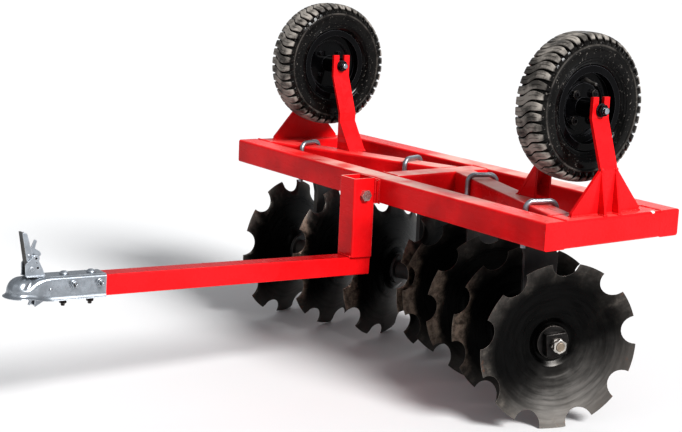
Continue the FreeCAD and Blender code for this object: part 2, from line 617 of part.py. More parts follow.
def build_drawbar():
    half_plate = POST_PLATE_WIDTH / 2
    plate_top = FRAME_TOP - POST_PLATE_SHORT
    save("post_plate", box((0, -half_plate, FRAME_BOTTOM), (POST_PLATE, half_plate, plate_top)))

    half = DRAWBAR_SIDE / 2
    length = POST + SLEEVE_START + BAR_IN_COUPLER
    bar = square_tube(DRAWBAR_SIDE, DRAWBAR_WALL, DRAWBAR_CORNER, length)
    bar.translate(Vec(-POST, 0, 0))

    post_x = POST_PLATE + POST / 2
    bolt_z = FRAME_BOTTOM + POST_BOLT_UP
    # upright tube, cut at its foot to the drawbar's slope
    post = square_tube(POST, POST_WALL, POST_CORNER, FRAME_TOP - FRAME_BOTTOM + DRAWBAR_DROP + half)
    post = placed(post, (post_x, 0, FRAME_TOP), 0, 90)
    post = post.cut(on_drawbar(box((-3 * POST, -POST, -2 * POST), (2 * POST, POST, half))))
    post = post.cut(cylinder((post_x, -POST, bolt_z), (post_x, POST, bolt_z), POST_BOLT_R + THREAD_GAP))

    side = POST / 2
    tail = side + POST_BOLT_HEAD + POST_BOLT_TAIL
    bolt = cylinder((post_x, -tail, bolt_z), (post_x, side, bolt_z), POST_BOLT_R)
    head = placed(hexagon(POST_BOLT_AF, POST_BOLT_HEAD), (post_x, side, bolt_z), 90)
    nut = placed(hexagon(POST_BOLT_AF, POST_BOLT_HEAD), (post_x, -side, bolt_z), -90)
    save("drawbar_tube", on_drawbar(bar.cut(coupler_bolt_holes())))
    save("drawbar_post", post)
    save("post_bolt", bolt.fuse([head, nut]))


# ---------------------------------------------------------------- coupler
# along the drawbar: z = 0 on its middle line, x = 0 at the post's front
BALL_X = SLEEVE_START + COUPLER_LENGTH - SOCKET_R - COUPLER_SHEET - LIP
TOP_SHEET = DRAWBAR_SIDE / 2 + COUPLER_SHEET
BALL_Z = TOP_SHEET - COUPLER_SHEET - SOCKET_R
LIP_Z = BALL_Z - SOCKET_SKIRT
PIN_X = BALL_X - LEVER_PIN_BACK
PIN_Z = TOP_SHEET + LEVER_PIN_UP


def coupler_bolt_holes():
    """Clearance holes for the coupler's upright and cross bolts."""
    radius = COUPLER_BOLT_R + THREAD_GAP
    reach = DRAWBAR_SIDE
    holes = []
    for along in UPRIGHT_BOLTS:
        x = SLEEVE_START + along
        holes.append(cylinder((x, 0, -reach), (x, 0, reach), radius))
    for along in CROSS_BOLTS:
        x = SLEEVE_START + along
        holes.append(cylinder((x, -reach, CROSS_BOLT_UP), (x, reach, CROSS_BOLT_UP), radius))
    return holes


def ball_form(radius, depth):
    """A ball's upper half on a straight round skirt, depth below the ball's middle."""
    ball = Part.makeSphere(radius, Vec(BALL_X, 0, BALL_Z), Vec(0, 0, 1))
    skirt = cylinder((BALL_X, 0, BALL_Z - depth), (BALL_X, 0, BALL_Z), radius)
    wide = 2 * radius
    below = box((BALL_X - wide, -wide, BALL_Z - wide), (BALL_X + wide, wide, BALL_Z))
    return ball.cut(below).fuse(skirt)


def channel(half_width, top, shoulder, low_line):
    """An upside-down channel's outside; low_line is its lower edge's (x, z) from the rear to the front."""
    start, end = low_line[0][0], low_line[-1][0]
    section = [(start, -half_width, -DRAWBAR_SIDE), (start, -half_width, top - shoulder),
               (start, -half_width + shoulder, top), (start, half_width - shoulder, top),
               (start, half_width, top - shoulder), (start, half_width, -DRAWBAR_SIDE)]
    bar = prism(section, (end - start, 0, 0))
    wide = 2 * half_width
    foot = [(x, -wide, z) for x, z in low_line] + [(end, -wide, -wide), (start, -wide, -wide)]
    return bar.cut(prism(foot, (0, 2 * wide, 0)))


def build_coupler():
    sheet = COUPLER_SHEET
    half = DRAWBAR_SIDE / 2
    outer = half + sheet
    dome_r = SOCKET_R + sheet

    # pressed shell: channel over the drawbar, widening into the domed socket
    neck_x = SLEEVE_START + SLEEVE_LENGTH
    bar_end = SLEEVE_START + BAR_IN_COUPLER
    clamp_back = BALL_X - SOCKET_R - CLAMP_WALL
    low_line = [(SLEEVE_START, -SLEEVE_DEPTH), (neck_x, -SLEEVE_DEPTH), (clamp_back, LIP_Z), (BALL_X, LIP_Z)]
    shell = channel(outer, TOP_SHEET, COUPLER_SHOULDER, low_line)
    neck = prism([(neck_x, -outer, LIP_Z), (BALL_X, -dome_r, LIP_Z), (BALL_X, dome_r, LIP_Z),
                  (neck_x, outer, LIP_Z)], (0, 0, BALL_Z - LIP_Z))
    lip = prism([(neck_x, -outer, LIP_Z), (BALL_X, -dome_r - LIP, LIP_Z), (BALL_X, dome_r + LIP, LIP_Z),
                 (neck_x, outer, LIP_Z)], (0, 0, LIP_THICK))
    lip = lip.fuse(cylinder((BALL_X, 0, LIP_Z), (BALL_X, 0, LIP_Z + LIP_THICK), dome_r + LIP))
    shell = shell.fuse([ball_form(dome_r, SOCKET_SKIRT), neck, lip])
    room = box((SLEEVE_START - 1, -half, -DRAWBAR_SIDE), (bar_end, half, half))
    space = prism([(bar_end, -half, -DRAWBAR_SIDE), (clamp_back, -half, -DRAWBAR_SIDE),
                   (clamp_back, -half, half - sheet), (bar_end, -half, half)], (0, DRAWBAR_SIDE, 0))
    shell = shell.cut([room, space, ball_form(SOCKET_R, 2 * SOCKET_SKIRT)])
    save("coupler_body", on_drawbar(shell.cut(coupler_bolt_holes())))

    save("ball_clamp", on_drawbar(pull_tab(clamp_back + CLAMP_TAB_FRONT)))
    save("coupler_bracket", on_drawbar(bracket()))
    save("coupler_bolts", *[on_drawbar(piece) for piece in coupler_bolts()])
    save("coupler_lever", on_drawbar(lever()))


def pull_tab(front):
    """The ball clamp's lower end: a wedge of folded sheet, open on top, against the wall's lower edge."""
    wall = CLAMP_TAB_SHEET
    lift = wall * (math.hypot(CLAMP_TAB_LENGTH, CLAMP_TAB_DEPTH) + CLAMP_TAB_DEPTH) / CLAMP_TAB_LENGTH
    wedges = []
    for inset, raised in ((0, 0), (wall, lift)):
        side = CLAMP_TAB_WIDTH / 2 - inset
        x = front - inset
        z = LIP_Z + raised
        corners = [(x, -side, z), (x, -side, z - CLAMP_TAB_DEPTH), (x - CLAMP_TAB_LENGTH, -side, z)]
        wedges.append(prism(corners, (0, 2 * side, 0)))
    return wedges[0].cut(wedges[1])


def bracket():
    """Two cheeks on the top sheet, joined by a foot plate, with the lever's pin."""
    gap = BRACKET_GAP / 2
    cheeks = []
    for low_y in (gap, -gap - BRACKET_THICK):
        points = [(PIN_X + x, low_y, TOP_SHEET + z) for x, z in CHEEK_LINE]
        cheeks.append(prism(points, (0, BRACKET_THICK, 0)))
    reach = gap + BRACKET_THICK
    front_x, rear_x = CHEEK_LINE[0][0], CHEEK_LINE[-1][0]
    foot = box((PIN_X + rear_x, -reach, TOP_SHEET), (PIN_X + front_x, reach, TOP_SHEET + BRACKET_FOOT))
    pin = cylinder((PIN_X, -reach - 2, PIN_Z), (PIN_X, reach + 2, PIN_Z), LEVER_PIN_R)
    return foot.fuse(cheeks + [pin])


def coupler_bolts():
    """Two upright and two cross bolts through coupler and drawbar, each with head, washer and nut."""
    sheet = COUPLER_SHEET
    half = DRAWBAR_SIDE / 2
    bolts = []
    for group, lower, upper in (("upright", half, half + sheet), ("cross", half + sheet, half + sheet)):
        tail = lower + COUPLER_WASHER + COUPLER_NUT_THICK + COUPLER_BOLT_TAIL
        # made along X: head beyond +upper, nut beyond -lower
        bolt = cylinder((-tail, 0, 0), (upper, 0, 0), COUPLER_BOLT_R)
        head = hexagon(COUPLER_BOLT_AF, COUPLER_BOLT_HEAD)
        head.translate(Vec(upper + COUPLER_WASHER, 0, 0))
        nut = hexagon(COUPLER_BOLT_AF, COUPLER_NUT_THICK)
        nut.translate(Vec(-lower - COUPLER_WASHER - COUPLER_NUT_THICK, 0, 0))
        washers = [cylinder((upper, 0, 0), (upper + COUPLER_WASHER, 0, 0), COUPLER_WASHER_R),
                   cylinder((-lower, 0, 0), (-lower - COUPLER_WASHER, 0, 0), COUPLER_WASHER_R)]
        bolt = bolt.fuse([head, nut] + washers)
        if group == "upright":
            for along in UPRIGHT_BOLTS:
                bolts.append(placed(bolt, (SLEEVE_START + along, 0, 0), 0, -90))
        else:
            for along in CROSS_BOLTS:
                bolts.append(placed(bolt, (SLEEVE_START + along, 0, CROSS_BOLT_UP), -90))
    return bolts


def lever():
    """Upright hand lever of folded sheet: two cheeks and a front web, round about its pin."""
    half = BRACKET_GAP / 2 - LEVER_SIDE_GAP
    sheet = LEVER_SHEET
    side = prism([(PIN_X + x, -half, PIN_Z + z) for x, z in LEVER_LINE], (0, 2 * half, 0))
    foot = cylinder((PIN_X, -half, PIN_Z), (PIN_X, half, PIN_Z), LEVER_FOOT_R)
    # everything behind the front web and between the cheeks is open
    web = [(x - sheet, z) for x, z in LEVER_LINE[:2]]
    behind = -LEVER_FOOT_R - 1
    over = web[1][1] + 1
    room_line = [(web[0][0], behind), web[0], (web[1][0], over), (behind, over), (behind, behind)]
    room = prism([(PIN_X + x, -half + sheet, PIN_Z + z) for x, z in room_line], (0, 2 * (half - sheet), 0))
    bore = cylinder((PIN_X, -2 * half, PIN_Z), (PIN_X, 2 * half, PIN_Z), LEVER_PIN_R + LEVER_PIN_GAP)
    # safety catch: a thin finger between the cheeks, on a rivet through both
    catch = prism([(PIN_X + x, -sheet / 2, PIN_Z + z) for x, z in CATCH_LINE], (0, sheet, 0))
    rivet_x, rivet_z = PIN_X + CATCH_RIVET[0], PIN_Z + CATCH_RIVET[1]
    reach = half + CATCH_RIVET_OUT
    rivet = cylinder((rivet_x, -reach, rivet_z), (rivet_x, reach, rivet_z), CATCH_RIVET_R)
    return side.fuse(foot).cut(room).fuse([catch, rivet]).cut(bore)


os.makedirs("parts", exist_ok=True)
build_frame()
build_gangs()
build_hangers()
build_arms()
build_wheels()
build_drawbar()
build_coupler()
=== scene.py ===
"""Finish and fine detail of a towed disc cultivator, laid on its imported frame.

The frame gives every place and size. The construction pieces stay where they are and get their
finish here. The pieces made here are disc blades, tyres, wheel nuts and valves, the gangs' hubs,
the coupler's pressed shell with its bracket, lever and bolts, threads and welds. Each rides on one
of the frame's bodies. Lengths are metres.
"""
import json
import math

import bmesh
import bpy
from mathutils import Matrix, Vector


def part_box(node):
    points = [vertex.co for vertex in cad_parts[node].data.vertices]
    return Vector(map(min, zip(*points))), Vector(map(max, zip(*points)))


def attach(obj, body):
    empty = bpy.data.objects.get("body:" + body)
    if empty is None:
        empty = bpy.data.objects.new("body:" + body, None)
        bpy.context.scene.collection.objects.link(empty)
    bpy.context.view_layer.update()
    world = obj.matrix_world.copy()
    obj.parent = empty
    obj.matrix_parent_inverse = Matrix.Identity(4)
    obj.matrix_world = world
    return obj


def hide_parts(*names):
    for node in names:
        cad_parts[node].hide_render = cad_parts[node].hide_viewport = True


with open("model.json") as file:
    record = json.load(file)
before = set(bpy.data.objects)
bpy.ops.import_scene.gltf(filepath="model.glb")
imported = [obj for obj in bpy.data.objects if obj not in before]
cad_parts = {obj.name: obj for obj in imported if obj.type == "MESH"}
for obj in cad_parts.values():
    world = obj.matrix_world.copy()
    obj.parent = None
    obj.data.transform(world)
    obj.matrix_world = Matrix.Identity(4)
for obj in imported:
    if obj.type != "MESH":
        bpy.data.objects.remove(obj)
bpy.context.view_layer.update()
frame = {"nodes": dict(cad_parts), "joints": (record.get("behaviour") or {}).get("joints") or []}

bl_info = {
    "name": "Disc Cultivator Finish",
    "version": (1, 0, 0),
    "blender": (4, 5, 0),
    "location": "3D View > Sidebar > Cultivator",
    "description": "Finish and fine detail of a towed disc cultivator on its packed frame",
    "category": "Object",
}

# ------------------------------------------------------------------ places read from the frame
SIDES = (("left", 1), ("right", -1))
JOINTS = {joint["name"]: joint for joint in frame["joints"]}
WHEEL_AT = Vector(JOINTS["left_wheel_spin"]["pos_m"])
GANG_AT = Vector(JOINTS["left_gang_spin"]["pos_m"])
GANG_AXIS = Vector(JOINTS["left_gang_spin"]["axis"]).normalized()
LEVER_AT = Vector(JOINTS["lever_tilt"]["pos_m"])
FRAME_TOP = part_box("front_rail")[1].z
# where the end rails and the centre beam meet the front and the rear rail
FRONT_SEAM_X, REAR_SEAM_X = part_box("front_rail")[0].x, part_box("rear_rail")[1].x


# ------------------------------------------------------------------ sizes and colours a user may change
def number(name, text, default, **kind):
    return bpy.props.FloatProperty(name=name, description=text, default=default, **kind)


def length(name, text, default):
    return number(name, text, default, unit="LENGTH", precision=4)


def angle(name, text, degrees):
    return number(name, text, math.radians(degrees), subtype="ANGLE")


def count(name, text, default):
    return bpy.props.IntProperty(name=name, description=text, default=default, min=1)


def colour(name, text, default):
    return bpy.props.FloatVectorProperty(name=name, description=text, default=default, size=3,
                                         min=0.0, max=1.0, subtype="COLOR")


class CultivatorFinish(bpy.types.PropertyGroup):
    red: colour("Red coat", "Glossy red powder coat of the frame", (0.67, 0.008, 0.011))
    blade: colour("Blade steel", "Dark tempered steel of the discs", (0.0090, 0.0088, 0.0086))
    # the soil film's colour is also used for a painted sheen low on the blades
    soil: colour("Soil film and sheen", "Film of dried soil low on the discs", (0.165, 0.155, 0.145))
    worn: colour("Worn steel", "Rubbed steel and dry soil near the teeth", (0.070, 0.062, 0.055))
    zinc: colour("Zinc", "Bright zinc plating", (0.38, 0.41, 0.445))
    rubber: colour("Rubber", "Clean tyre rubber", (0.0022, 0.0021, 0.0020))
    dust: colour("Dust", "Dry dust on the tyres and rims", (0.250, 0.228, 0.205))
    enamel: colour("Rim enamel", "Glossy black paint of the rims", (0.0012, 0.0012, 0.0015))
    rust: colour("Rust", "Rust on the discs, shafts and hangers", (0.130, 0.052, 0.026))


class CultivatorBlade(bpy.types.PropertyGroup):
    radius: length("Radius", "Blade radius over the teeth", 0.185)
    thickness: length("Thickness", "Blade steel", 0.004)
    dish: length("Dish", "Depth of the hollow, rim plane to middle", 0.040)
    flat_radius: length("Flat radius", "Flat middle of the blade", 0.044)
    step: length("Step", "Pressed step round the flat middle", 0.0066)
    crease: length("Crease", "Faint crease between the middle and the rim", 0.0009)
    notches: count("Notches", "Notches round the rim", 9)
    notch_half: angle("Notch half angle", "Half the angle that a notch takes out of the rim", 10.1)
    notch_depth: length("Notch depth", "Rim to the bottom of a notch", 0.031)
    ground: length("Ground edge", "Width of the ground cutting edge", 0.009)
    pitch: length("Pitch", "Blade to blade along the shaft", 0.165)


class CultivatorTyre(bpy.types.PropertyGroup):
    radius: length("Radius", "Tyre radius over the tread", 0.162)
    half_width: length("Half width", "Middle of the tyre to its sidewall", 0.040)
    groove: length("Groove", "Depth of the tread's grooves", 0.0075)
    bars: count("Bars", "Curved tread bars round the tyre", 44)
    hairs: count("Hairs", "Mould hairs left on a tyre", 160)
    hair_length: length("Hair length", "Length of a mould hair", 0.005)


class CultivatorTrim(bpy.types.PropertyGroup):
    weld_width: length("Weld width", "Width of a weld bead", 0.007)
    weld_pitch: length("Weld ripple", "Ripple to ripple along a bead", 0.0028)
    fin_top: length("Fin top", "Top of the outer arm's fins below the wheel's axle", 0.1220)
    u_bar: length("U-bolt bar", "Diameter of the U-bolts' bar", 0.012)
    u_tail: length("U-bolt tail", "Thread below the U-bolts' nuts", 0.016)


class CultivatorCoupler(bpy.types.PropertyGroup):
    rise: angle("Rise", "Climb of the drawbar towards the coupler", 2.3)
    sheet: length("Sheet", "Pressed sheet of the shell", 0.003)
    ball_ahead: length("Ball ahead", "Middle of the ball ahead of the lever's pin", 0.017)
    ball_below: length("Ball below", "Middle of the ball below the lever's pin", 0.045)
    dome: length("Dome", "Outer radius of the domed nose", 0.0285)
    lip: length("Lip", "Flare of the lip round the socket", 0.0075)
    skirt: length("Skirt", "Lip below the middle of the ball", 0.012)
    sleeve_behind: length("Sleeve behind", "Rear end of the sleeve behind the lever's pin", 0.159)
    sleeve_length: length("Sleeve length", "Straight part of the sleeve", 0.118)
    sleeve_half: length("Sleeve half width", "Outer half width of the sleeve", 0.0255)
    sleeve_skirt: length("Sleeve skirt", "Sleeve's lower edge below the middle of the ball", 0.0205)
    corner: length("Corner", "Rounding of the sleeve's upper edges", 0.0075)
    flange: length("Flange", "Flare of the sleeve's lower edges", 0.0048)
    valley: length("Valley", "Depth of the valley behind the domed nose", 0.0034)


class CultivatorStudio(bpy.types.PropertyGroup):
    eye: bpy.props.FloatVectorProperty(name="Eye", description="Camera's place", size=3,
                                       subtype="TRANSLATION", default=(1.6829, 2.5266, 1.0139))
    heading: angle("Heading", "Camera's azimuth", 232.58)
    tilt: angle("Tilt", "Camera's elevation", -10.73)
    roll: angle("Roll", "Camera's roll", 2.88)
    lens: number("Lens", "Focal length in millimetres", 71.33)
    shift_x: number("Shift X", "Sideways shift of the view", -0.0548)
    shift_y: number("Shift Y", "Upward shift of the view", -0.0196)
    key: number("Key light", "Strength of the soft sun", 5.5)
    fill: number("Fill light", "Strength of the front fill", 0.18)
    back: number("Back light", "Strength of the light from behind", 0.4)
    sky: number("Room light", "Strength of the even light", 0.37)
    floor: colour("Floor", "Plain pale floor", (0.58, 0.58, 0.58))


GROUPS = (
    (CultivatorFinish, "cultivator_finish"), (CultivatorBlade, "cultivator_blade"),
    (CultivatorTyre, "cultivator_tyre"), (CultivatorTrim, "cultivator_trim"),
    (CultivatorCoupler, "cultivator_coupler"), (CultivatorStudio, "cultivator_studio"),
)


# ------------------------------------------------------------------ node helpers
class Nodes:
    """A node tree being built."""

    def fill(self, socket, value):
        """Set a socket to a value, or wire it to another node's output."""
        if isinstance(value, bpy.types.NodeSocket):
            self.tree.links.new(value, socket)
        else:
            socket.default_value = value

    def add(self, kind, sockets=None, **settings):
        """A node with its settings, and its input sockets filled by name."""
        node = self.tree.nodes.new(kind)
        for name, value in settings.items():
            setattr(node, name, value)
        for name, value in (sockets or {}).items():
            self.fill(node.inputs[name], value)
        return node

    def maths(self, operation, a, b=0.0):
        node = self.add("ShaderNodeMath", operation=operation)
        self.fill(node.inputs[0], a)
        self.fill(node.inputs[1], b)
        return node.outputs[0]

    def times(self, product, *others):
        for other in others:
            product = self.maths("MULTIPLY", product, other)
        return product

    def plus(self, total, *others):
        for other in others:
            total = self.maths("ADD", total, other)
        return total


class Finish(Nodes):
    """A material being mixed: one shader whose patterns read Object coordinates."""

    def __init__(self, name, **sockets):
        self.material = bpy.data.materials.new(name)
        self.material.use_nodes = True
        self.tree = self.material.node_tree
        self.shader = self.tree.nodes["Principled BSDF"]
        self.place = self.add("ShaderNodeTexCoord").outputs["Object"]
        for socket, value in sockets.items():
            self.shader.inputs[socket.replace("_", " ")].default_value = value

    def centred(self, centre, turn):
        """Read the patterns from a piece's own centre, turned about the upright through it."""
        sockets = {"Vector": self.place, "Location": centre, "Rotation": (0, 0, turn)}
        self.place = self.add("ShaderNodeMapping", sockets, vector_type="TEXTURE").outputs["Vector"]

    def stretched(self, scale):
        return self.add("ShaderNodeMapping", {"Vector": self.place, "Scale": scale}).outputs["Vector"]

    def noise(self, scale, detail=4.0, rough=0.5, place=None, warp=0.0):
        sockets = {"Vector": place or self.place, "Scale": scale, "Detail": detail, "Roughness": rough,
                   "Distortion": warp}
        return self.add("ShaderNodeTexNoise", sockets).outputs["Fac"]

    def span(self, value, low, high, to_low=0.0, to_high=1.0):
        """Value from low..high to to_low..to_high, clamped and eased at both ends."""
        sockets = {"Value": value, "From Min": low, "From Max": high, "To Min": to_low, "To Max": to_high}
        return self.add("ShaderNodeMapRange", sockets, interpolation_type="SMOOTHSTEP").outputs["Result"]

    def mix(self, share, a, b):
        """Tone a where share is 0, tone b where it is 1."""
        node = self.add("ShaderNodeMix", {"Factor": share}, data_type="RGBA")
        for socket, tone in ((node.inputs[6], a), (node.inputs[7], b)):
            self.fill(socket, tone if isinstance(tone, bpy.types.NodeSocket) else (*tone, 1.0))
        return node.outputs[2]

    def along(self, axis):
        """The centred place's share along one axis."""
        return self.add("ShaderNodeSeparateXYZ", {"Vector": self.place}).outputs[axis]

    def radius_from_axle(self):
        """Distance from the X axis of the centred place."""
        y, z = self.along("Y"), self.along("Z")
        return self.maths("SQRT", self.plus(self.times(y, y), self.times(z, z)))

    def turn_about_axle(self):
        return self.maths("ARCTAN2", self.along("Z"), self.along("Y"))

    def distance_to(self, point):
        node = self.add("ShaderNodeVectorMath", {"Vector": self.place}, operation="DISTANCE")
        node.inputs[1].default_value = point
        return node.outputs["Value"]

    def facing_up(self):
        normal = self.add("ShaderNodeNewGeometry").outputs["Normal"]
        return self.add("ShaderNodeSeparateXYZ", {"Vector": normal}).outputs["Z"]

    def rounded_normal(self, radius):
        return self.add("ShaderNodeBevel", {"Radius": radius}, samples=4).outputs["Normal"]

    def edges(self, radius):
        """1 on sharp edges, 0 on open faces."""
        node = self.add("ShaderNodeVectorMath", operation="DOT_PRODUCT")
        self.fill(node.inputs[0], self.rounded_normal(radius))
        self.fill(node.inputs[1], self.add("ShaderNodeNewGeometry").outputs["Normal"])
        return self.span(node.outputs["Value"], 0.995, 0.86)

    def lay(self, share, tone, strength=1.0):
        """Lay a tone over the colour so far, as thick as strength where share is 1."""
        if strength < 1.0:
            share = self.times(share, strength)
        self.base = self.mix(share, self.base, tone)

    def set(self, socket, value):
        self.fill(self.shader.inputs[socket], value)

    def done(self, roughness, *bumps, rounding=0.0):
        """End with the colour, the roughness, rounded edges and bumps, each (height, strength, distance)."""
        self.set("Base Color", self.base)
        self.set("Roughness", roughness)
        if bumps:
            normal = self.rounded_normal(rounding)
            for height, strength, distance in bumps:
                sockets = {"Height": height, "Strength": strength, "Distance": distance, "Normal": normal}
                normal = self.add("ShaderNodeBump", sockets).outputs["Normal"]
            self.set("Normal", normal)
        return self.material


def shade(tone, share):
    return tuple(min(1.0, part * share) for part in tone)


# ------------------------------------------------------------------ finishes
# heights: upper faces are darkened below the first (a painted shade), plain at the second, and carry dust
# with a painted glare above the third
TOP_SHADE_BELOW, CLEAN_AT, DUST_AND_GLARE_ABOVE = 0.37, 0.41, 0.45


def red_powder_coat(name):
    """Glossy red coat with a fine orange peel, dust and a painted glare on what faces up, a painted shade on
    the drawbar's top, thin and chipped on its edges.
    """
    red = bpy.context.scene.cultivator_finish.red
    coat = Finish(name, Coat_Weight=0.05, Coat_Roughness=0.12, Coat_IOR=1.5, IOR=1.45,
                  Specular_IOR_Level=0.13)
    cloud = coat.noise(9.0, 5.0)
    coat.base = coat.mix(coat.span(cloud, 0.35, 0.65), shade(red, 0.80), shade(red, 1.10))
    # dust and a painted glare, a pale painted reflection, on the frame's upper faces: thickest on the front
    # rail and thin towards both ends
    upward = coat.span(coat.facing_up(), 0.7, 1.0)
    height, across = coat.along("Z"), coat.along("Y")
    level = coat.times(upward, coat.span(height, CLEAN_AT, DUST_AND_GLARE_ABOVE),
                       coat.span(across, -0.32, -0.14, 0.12, 1.0), coat.span(across, 0.42, 0.32, 0.20, 1.0))
    ahead = coat.span(coat.along("X"), FRONT_SEAM_X - 0.14, FRONT_SEAM_X, 0.80, 1.0)
    dust_and_glare = coat.times(level, ahead, coat.span(coat.noise(14.0, 8.0), 0.20, 0.60))
    coat.lay(dust_and_glare, (0.70, 0.48, 0.41), 0.86)
    # painted shade: the drawbar's upward faces, below the clean height, are painted a deep red instead
    painted_top_shade = coat.times(upward, coat.span(height, CLEAN_AT, TOP_SHADE_BELOW))
    coat.lay(painted_top_shade, (0.22, 0.003, 0.004), 0.70)
    edge = coat.edges(0.0022)
    coat.lay(edge, (0.42, 0.006, 0.006), 0.35)
    chip = coat.times(edge, coat.span(coat.noise(60.0, 6.0, 0.7), 0.70, 0.74))
    # one bare knock on the left end rail's upper edge
    low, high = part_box("left_end_rail")
    knock = (low.x * 0.92 + high.x * 0.08, high.y - 0.003, high.z)
    ragged = coat.plus(coat.distance_to(knock), coat.times(coat.noise(160.0, 4.0, 0.7), 0.012))
    coat.lay(coat.maths("MAXIMUM", chip, coat.span(ragged, 0.0120, 0.0108)), (0.62, 0.56, 0.52))
    smear = coat.noise(40.0, 6.0, 0.6, coat.stretched((1.0, 0.25, 1.0)))
    rough = coat.plus(coat.span(smear, 0.3, 0.7, 0.20, 0.36), coat.times(dust_and_glare, 0.2))
    return coat.done(rough, (coat.noise(420.0, 2.0), 0.06, 0.0006), (coat.noise(30.0, 3.0), 0.05, 0.004),
                     rounding=0.0012)


def blade_steel(name, centre, side, crusted):
    """Dark tempered steel of one blade, rubbed and soiled towards its teeth, streaked round its axle."""
    tone = bpy.context.scene.cultivator_finish
    rim = bpy.context.scene.cultivator_blade.radius
    steel = Finish(name, IOR=1.6, Specular_IOR_Level=0.3)
    steel.centred(centre, math.atan2(side * GANG_AXIS.y, GANG_AXIS.x))
    radius, turn = steel.radius_from_axle(), steel.turn_about_axle()
    rings = steel.add("ShaderNodeCombineXYZ", {"X": steel.times(radius, 70.0), "Y": steel.maths("SINE", turn),
                                               "Z": steel.maths("COSINE", turn)})
    swirl = steel.noise(1.6, 7.0, 0.6, rings.outputs["Vector"], 0.25)
    patches = steel.noise(16.0, 8.0, 0.6)
    blotch = steel.noise(70.0, 6.0, 0.7)
    ragged = steel.times(patches, 0.07)
    near_rim = steel.span(steel.plus(radius, ragged), rim * 0.90, rim * 1.25)
    # a film of dried soil low on the trailing side, where the blade last stood in the ground; it also paints
    # a sheen there, a painted reflection that lightens the blade's lower trailing part
    across, up = steel.along("Y"), steel.along("Z")
    low_behind = steel.plus(up, steel.times(across, -0.45 * side), steel.times(patches, 0.10))
    film = steel.span(low_behind, 0.035, -0.115)
    steel.base = steel.mix(steel.span(swirl, 0.35, 0.68), shade(tone.blade, 0.60), tone.blade)
    steel.lay(steel.times(film, steel.span(swirl, 0.3, 0.7, 0.45, 0.75)), tone.soil)
    rubbed = steel.times(near_rim, steel.span(blotch, 0.25, 0.75, 0.45, 1.0))
    steel.lay(rubbed, tone.worn)
    steel.lay(steel.span(patches, 0.50, 0.80), (0.040, 0.036, 0.031), 0.22)
    rusted = steel.span(radius, rim * 0.90, rim)
    steel.lay(steel.times(steel.span(steel.noise(60.0, 8.0, 0.75), 0.56, 0.66), rusted), tone.rust, 0.7)
    # bare, scraped spots along the teeth
    scraped = steel.times(steel.span(steel.noise(34.0, 9.0, 0.72), 0.54, 0.66), near_rim)
    steel.lay(scraped, (0.150, 0.133, 0.113), 0.55)
    dull = rubbed
    if crusted:
        # brown earth dried on the leading edge, but for its lowest part
        leading = steel.plus(steel.times(across, -side), ragged)
        crust = steel.times(steel.span(leading, 0.163, 0.190), steel.span(blotch, 0.32, 0.66, 0.20, 0.90),
                            steel.span(up, -0.120, -0.060))
        steel.lay(crust, (0.29, 0.225, 0.175))
        dull = steel.maths("MAXIMUM", rubbed, crust)
    steel.lay(steel.edges(0.0016), (0.20, 0.18, 0.16), 0.6)
    steel.set("Metallic", steel.span(dull, 0.0, 1.0, 0.95, 0.45))
    soiled = steel.times(steel.maths("MAXIMUM", rubbed, film), 0.16)
    return steel.done(steel.plus(steel.span(swirl, 0.3, 0.7, 0.24, 0.34), soiled), (blotch, 0.10, 0.0006),
                      (swirl, 0.08, 0.0008), (patches, 0.05, 0.003), rounding=0.0006)


def zinc_plate(name, rough):
    """Zinc plate: bluish bright metal with a fine spangle, dull stains, and bright edges that are a painted
    highlight.
    """
    tone = bpy.context.scene.cultivator_finish.zinc
    zinc = Finish(name, Metallic=0.92, IOR=1.5)
    spangle = zinc.noise(260.0, 4.0, 0.6)
    stain = zinc.noise(38.0, 7.0, 0.65)
    zinc.base = zinc.mix(zinc.span(stain, 0.35, 0.70), shade(tone, 0.66), tone)
    zinc.lay(zinc.span(spangle, 0.55, 0.75), (0.34, 0.35, 0.37), 0.35)
    # painted highlight: near-white lines along the edges
    zinc.lay(zinc.edges(0.0020), (0.80, 0.83, 0.87), 0.65)
    return zinc.done(zinc.span(stain, 0.3, 0.7, rough + 0.10, rough - 0.05), (spangle, 0.08, 0.0004),
                     (stain, 0.10, 0.0015), rounding=0.0009)


def dark_metal(name, tone, edge_tone, rough):
    """Oiled or worn dark steel, brighter on its edges."""
    metal = Finish(name, Metallic=0.85, IOR=1.6)
    grain = metal.noise(230.0, 5.0, 0.65)
    patch = metal.noise(60.0, 6.0)
    metal.base = metal.mix(metal.span(patch, 0.35, 0.68), shade(tone, 0.55), tone)
    metal.lay(metal.edges(0.0016), edge_tone, 0.75)
    return metal.done(metal.span(grain, 0.3, 0.7, rough - 0.07, rough + 0.10), (grain, 0.14, 0.0005),
                      (patch, 0.10, 0.0015), rounding=0.0008)


def satin_black(name):
    """Satin black of shafts, spools, hangers and small fittings, rubbed and dusty, with rust specks."""
    black = Finish(name, IOR=1.5)
    cloud = black.noise(22.0, 7.0, 0.6)
    grit = black.noise(300.0, 4.0, 0.6)
    black.base = black.mix(black.span(cloud, 0.4, 0.7), (0.012, 0.012, 0.013), (0.040, 0.036, 0.031))
    black.lay(black.edges(0.002), (0.16, 0.15, 0.14), 0.55)
    specks = black.span(black.noise(55.0, 8.0, 0.7), 0.66, 0.76)
    black.lay(specks, bpy.context.scene.cultivator_finish.rust, 0.6)
    return black.done(black.span(cloud, 0.3, 0.7, 0.38, 0.62), (grit, 0.12, 0.0005), (cloud, 0.10, 0.002),
                      rounding=0.0012)


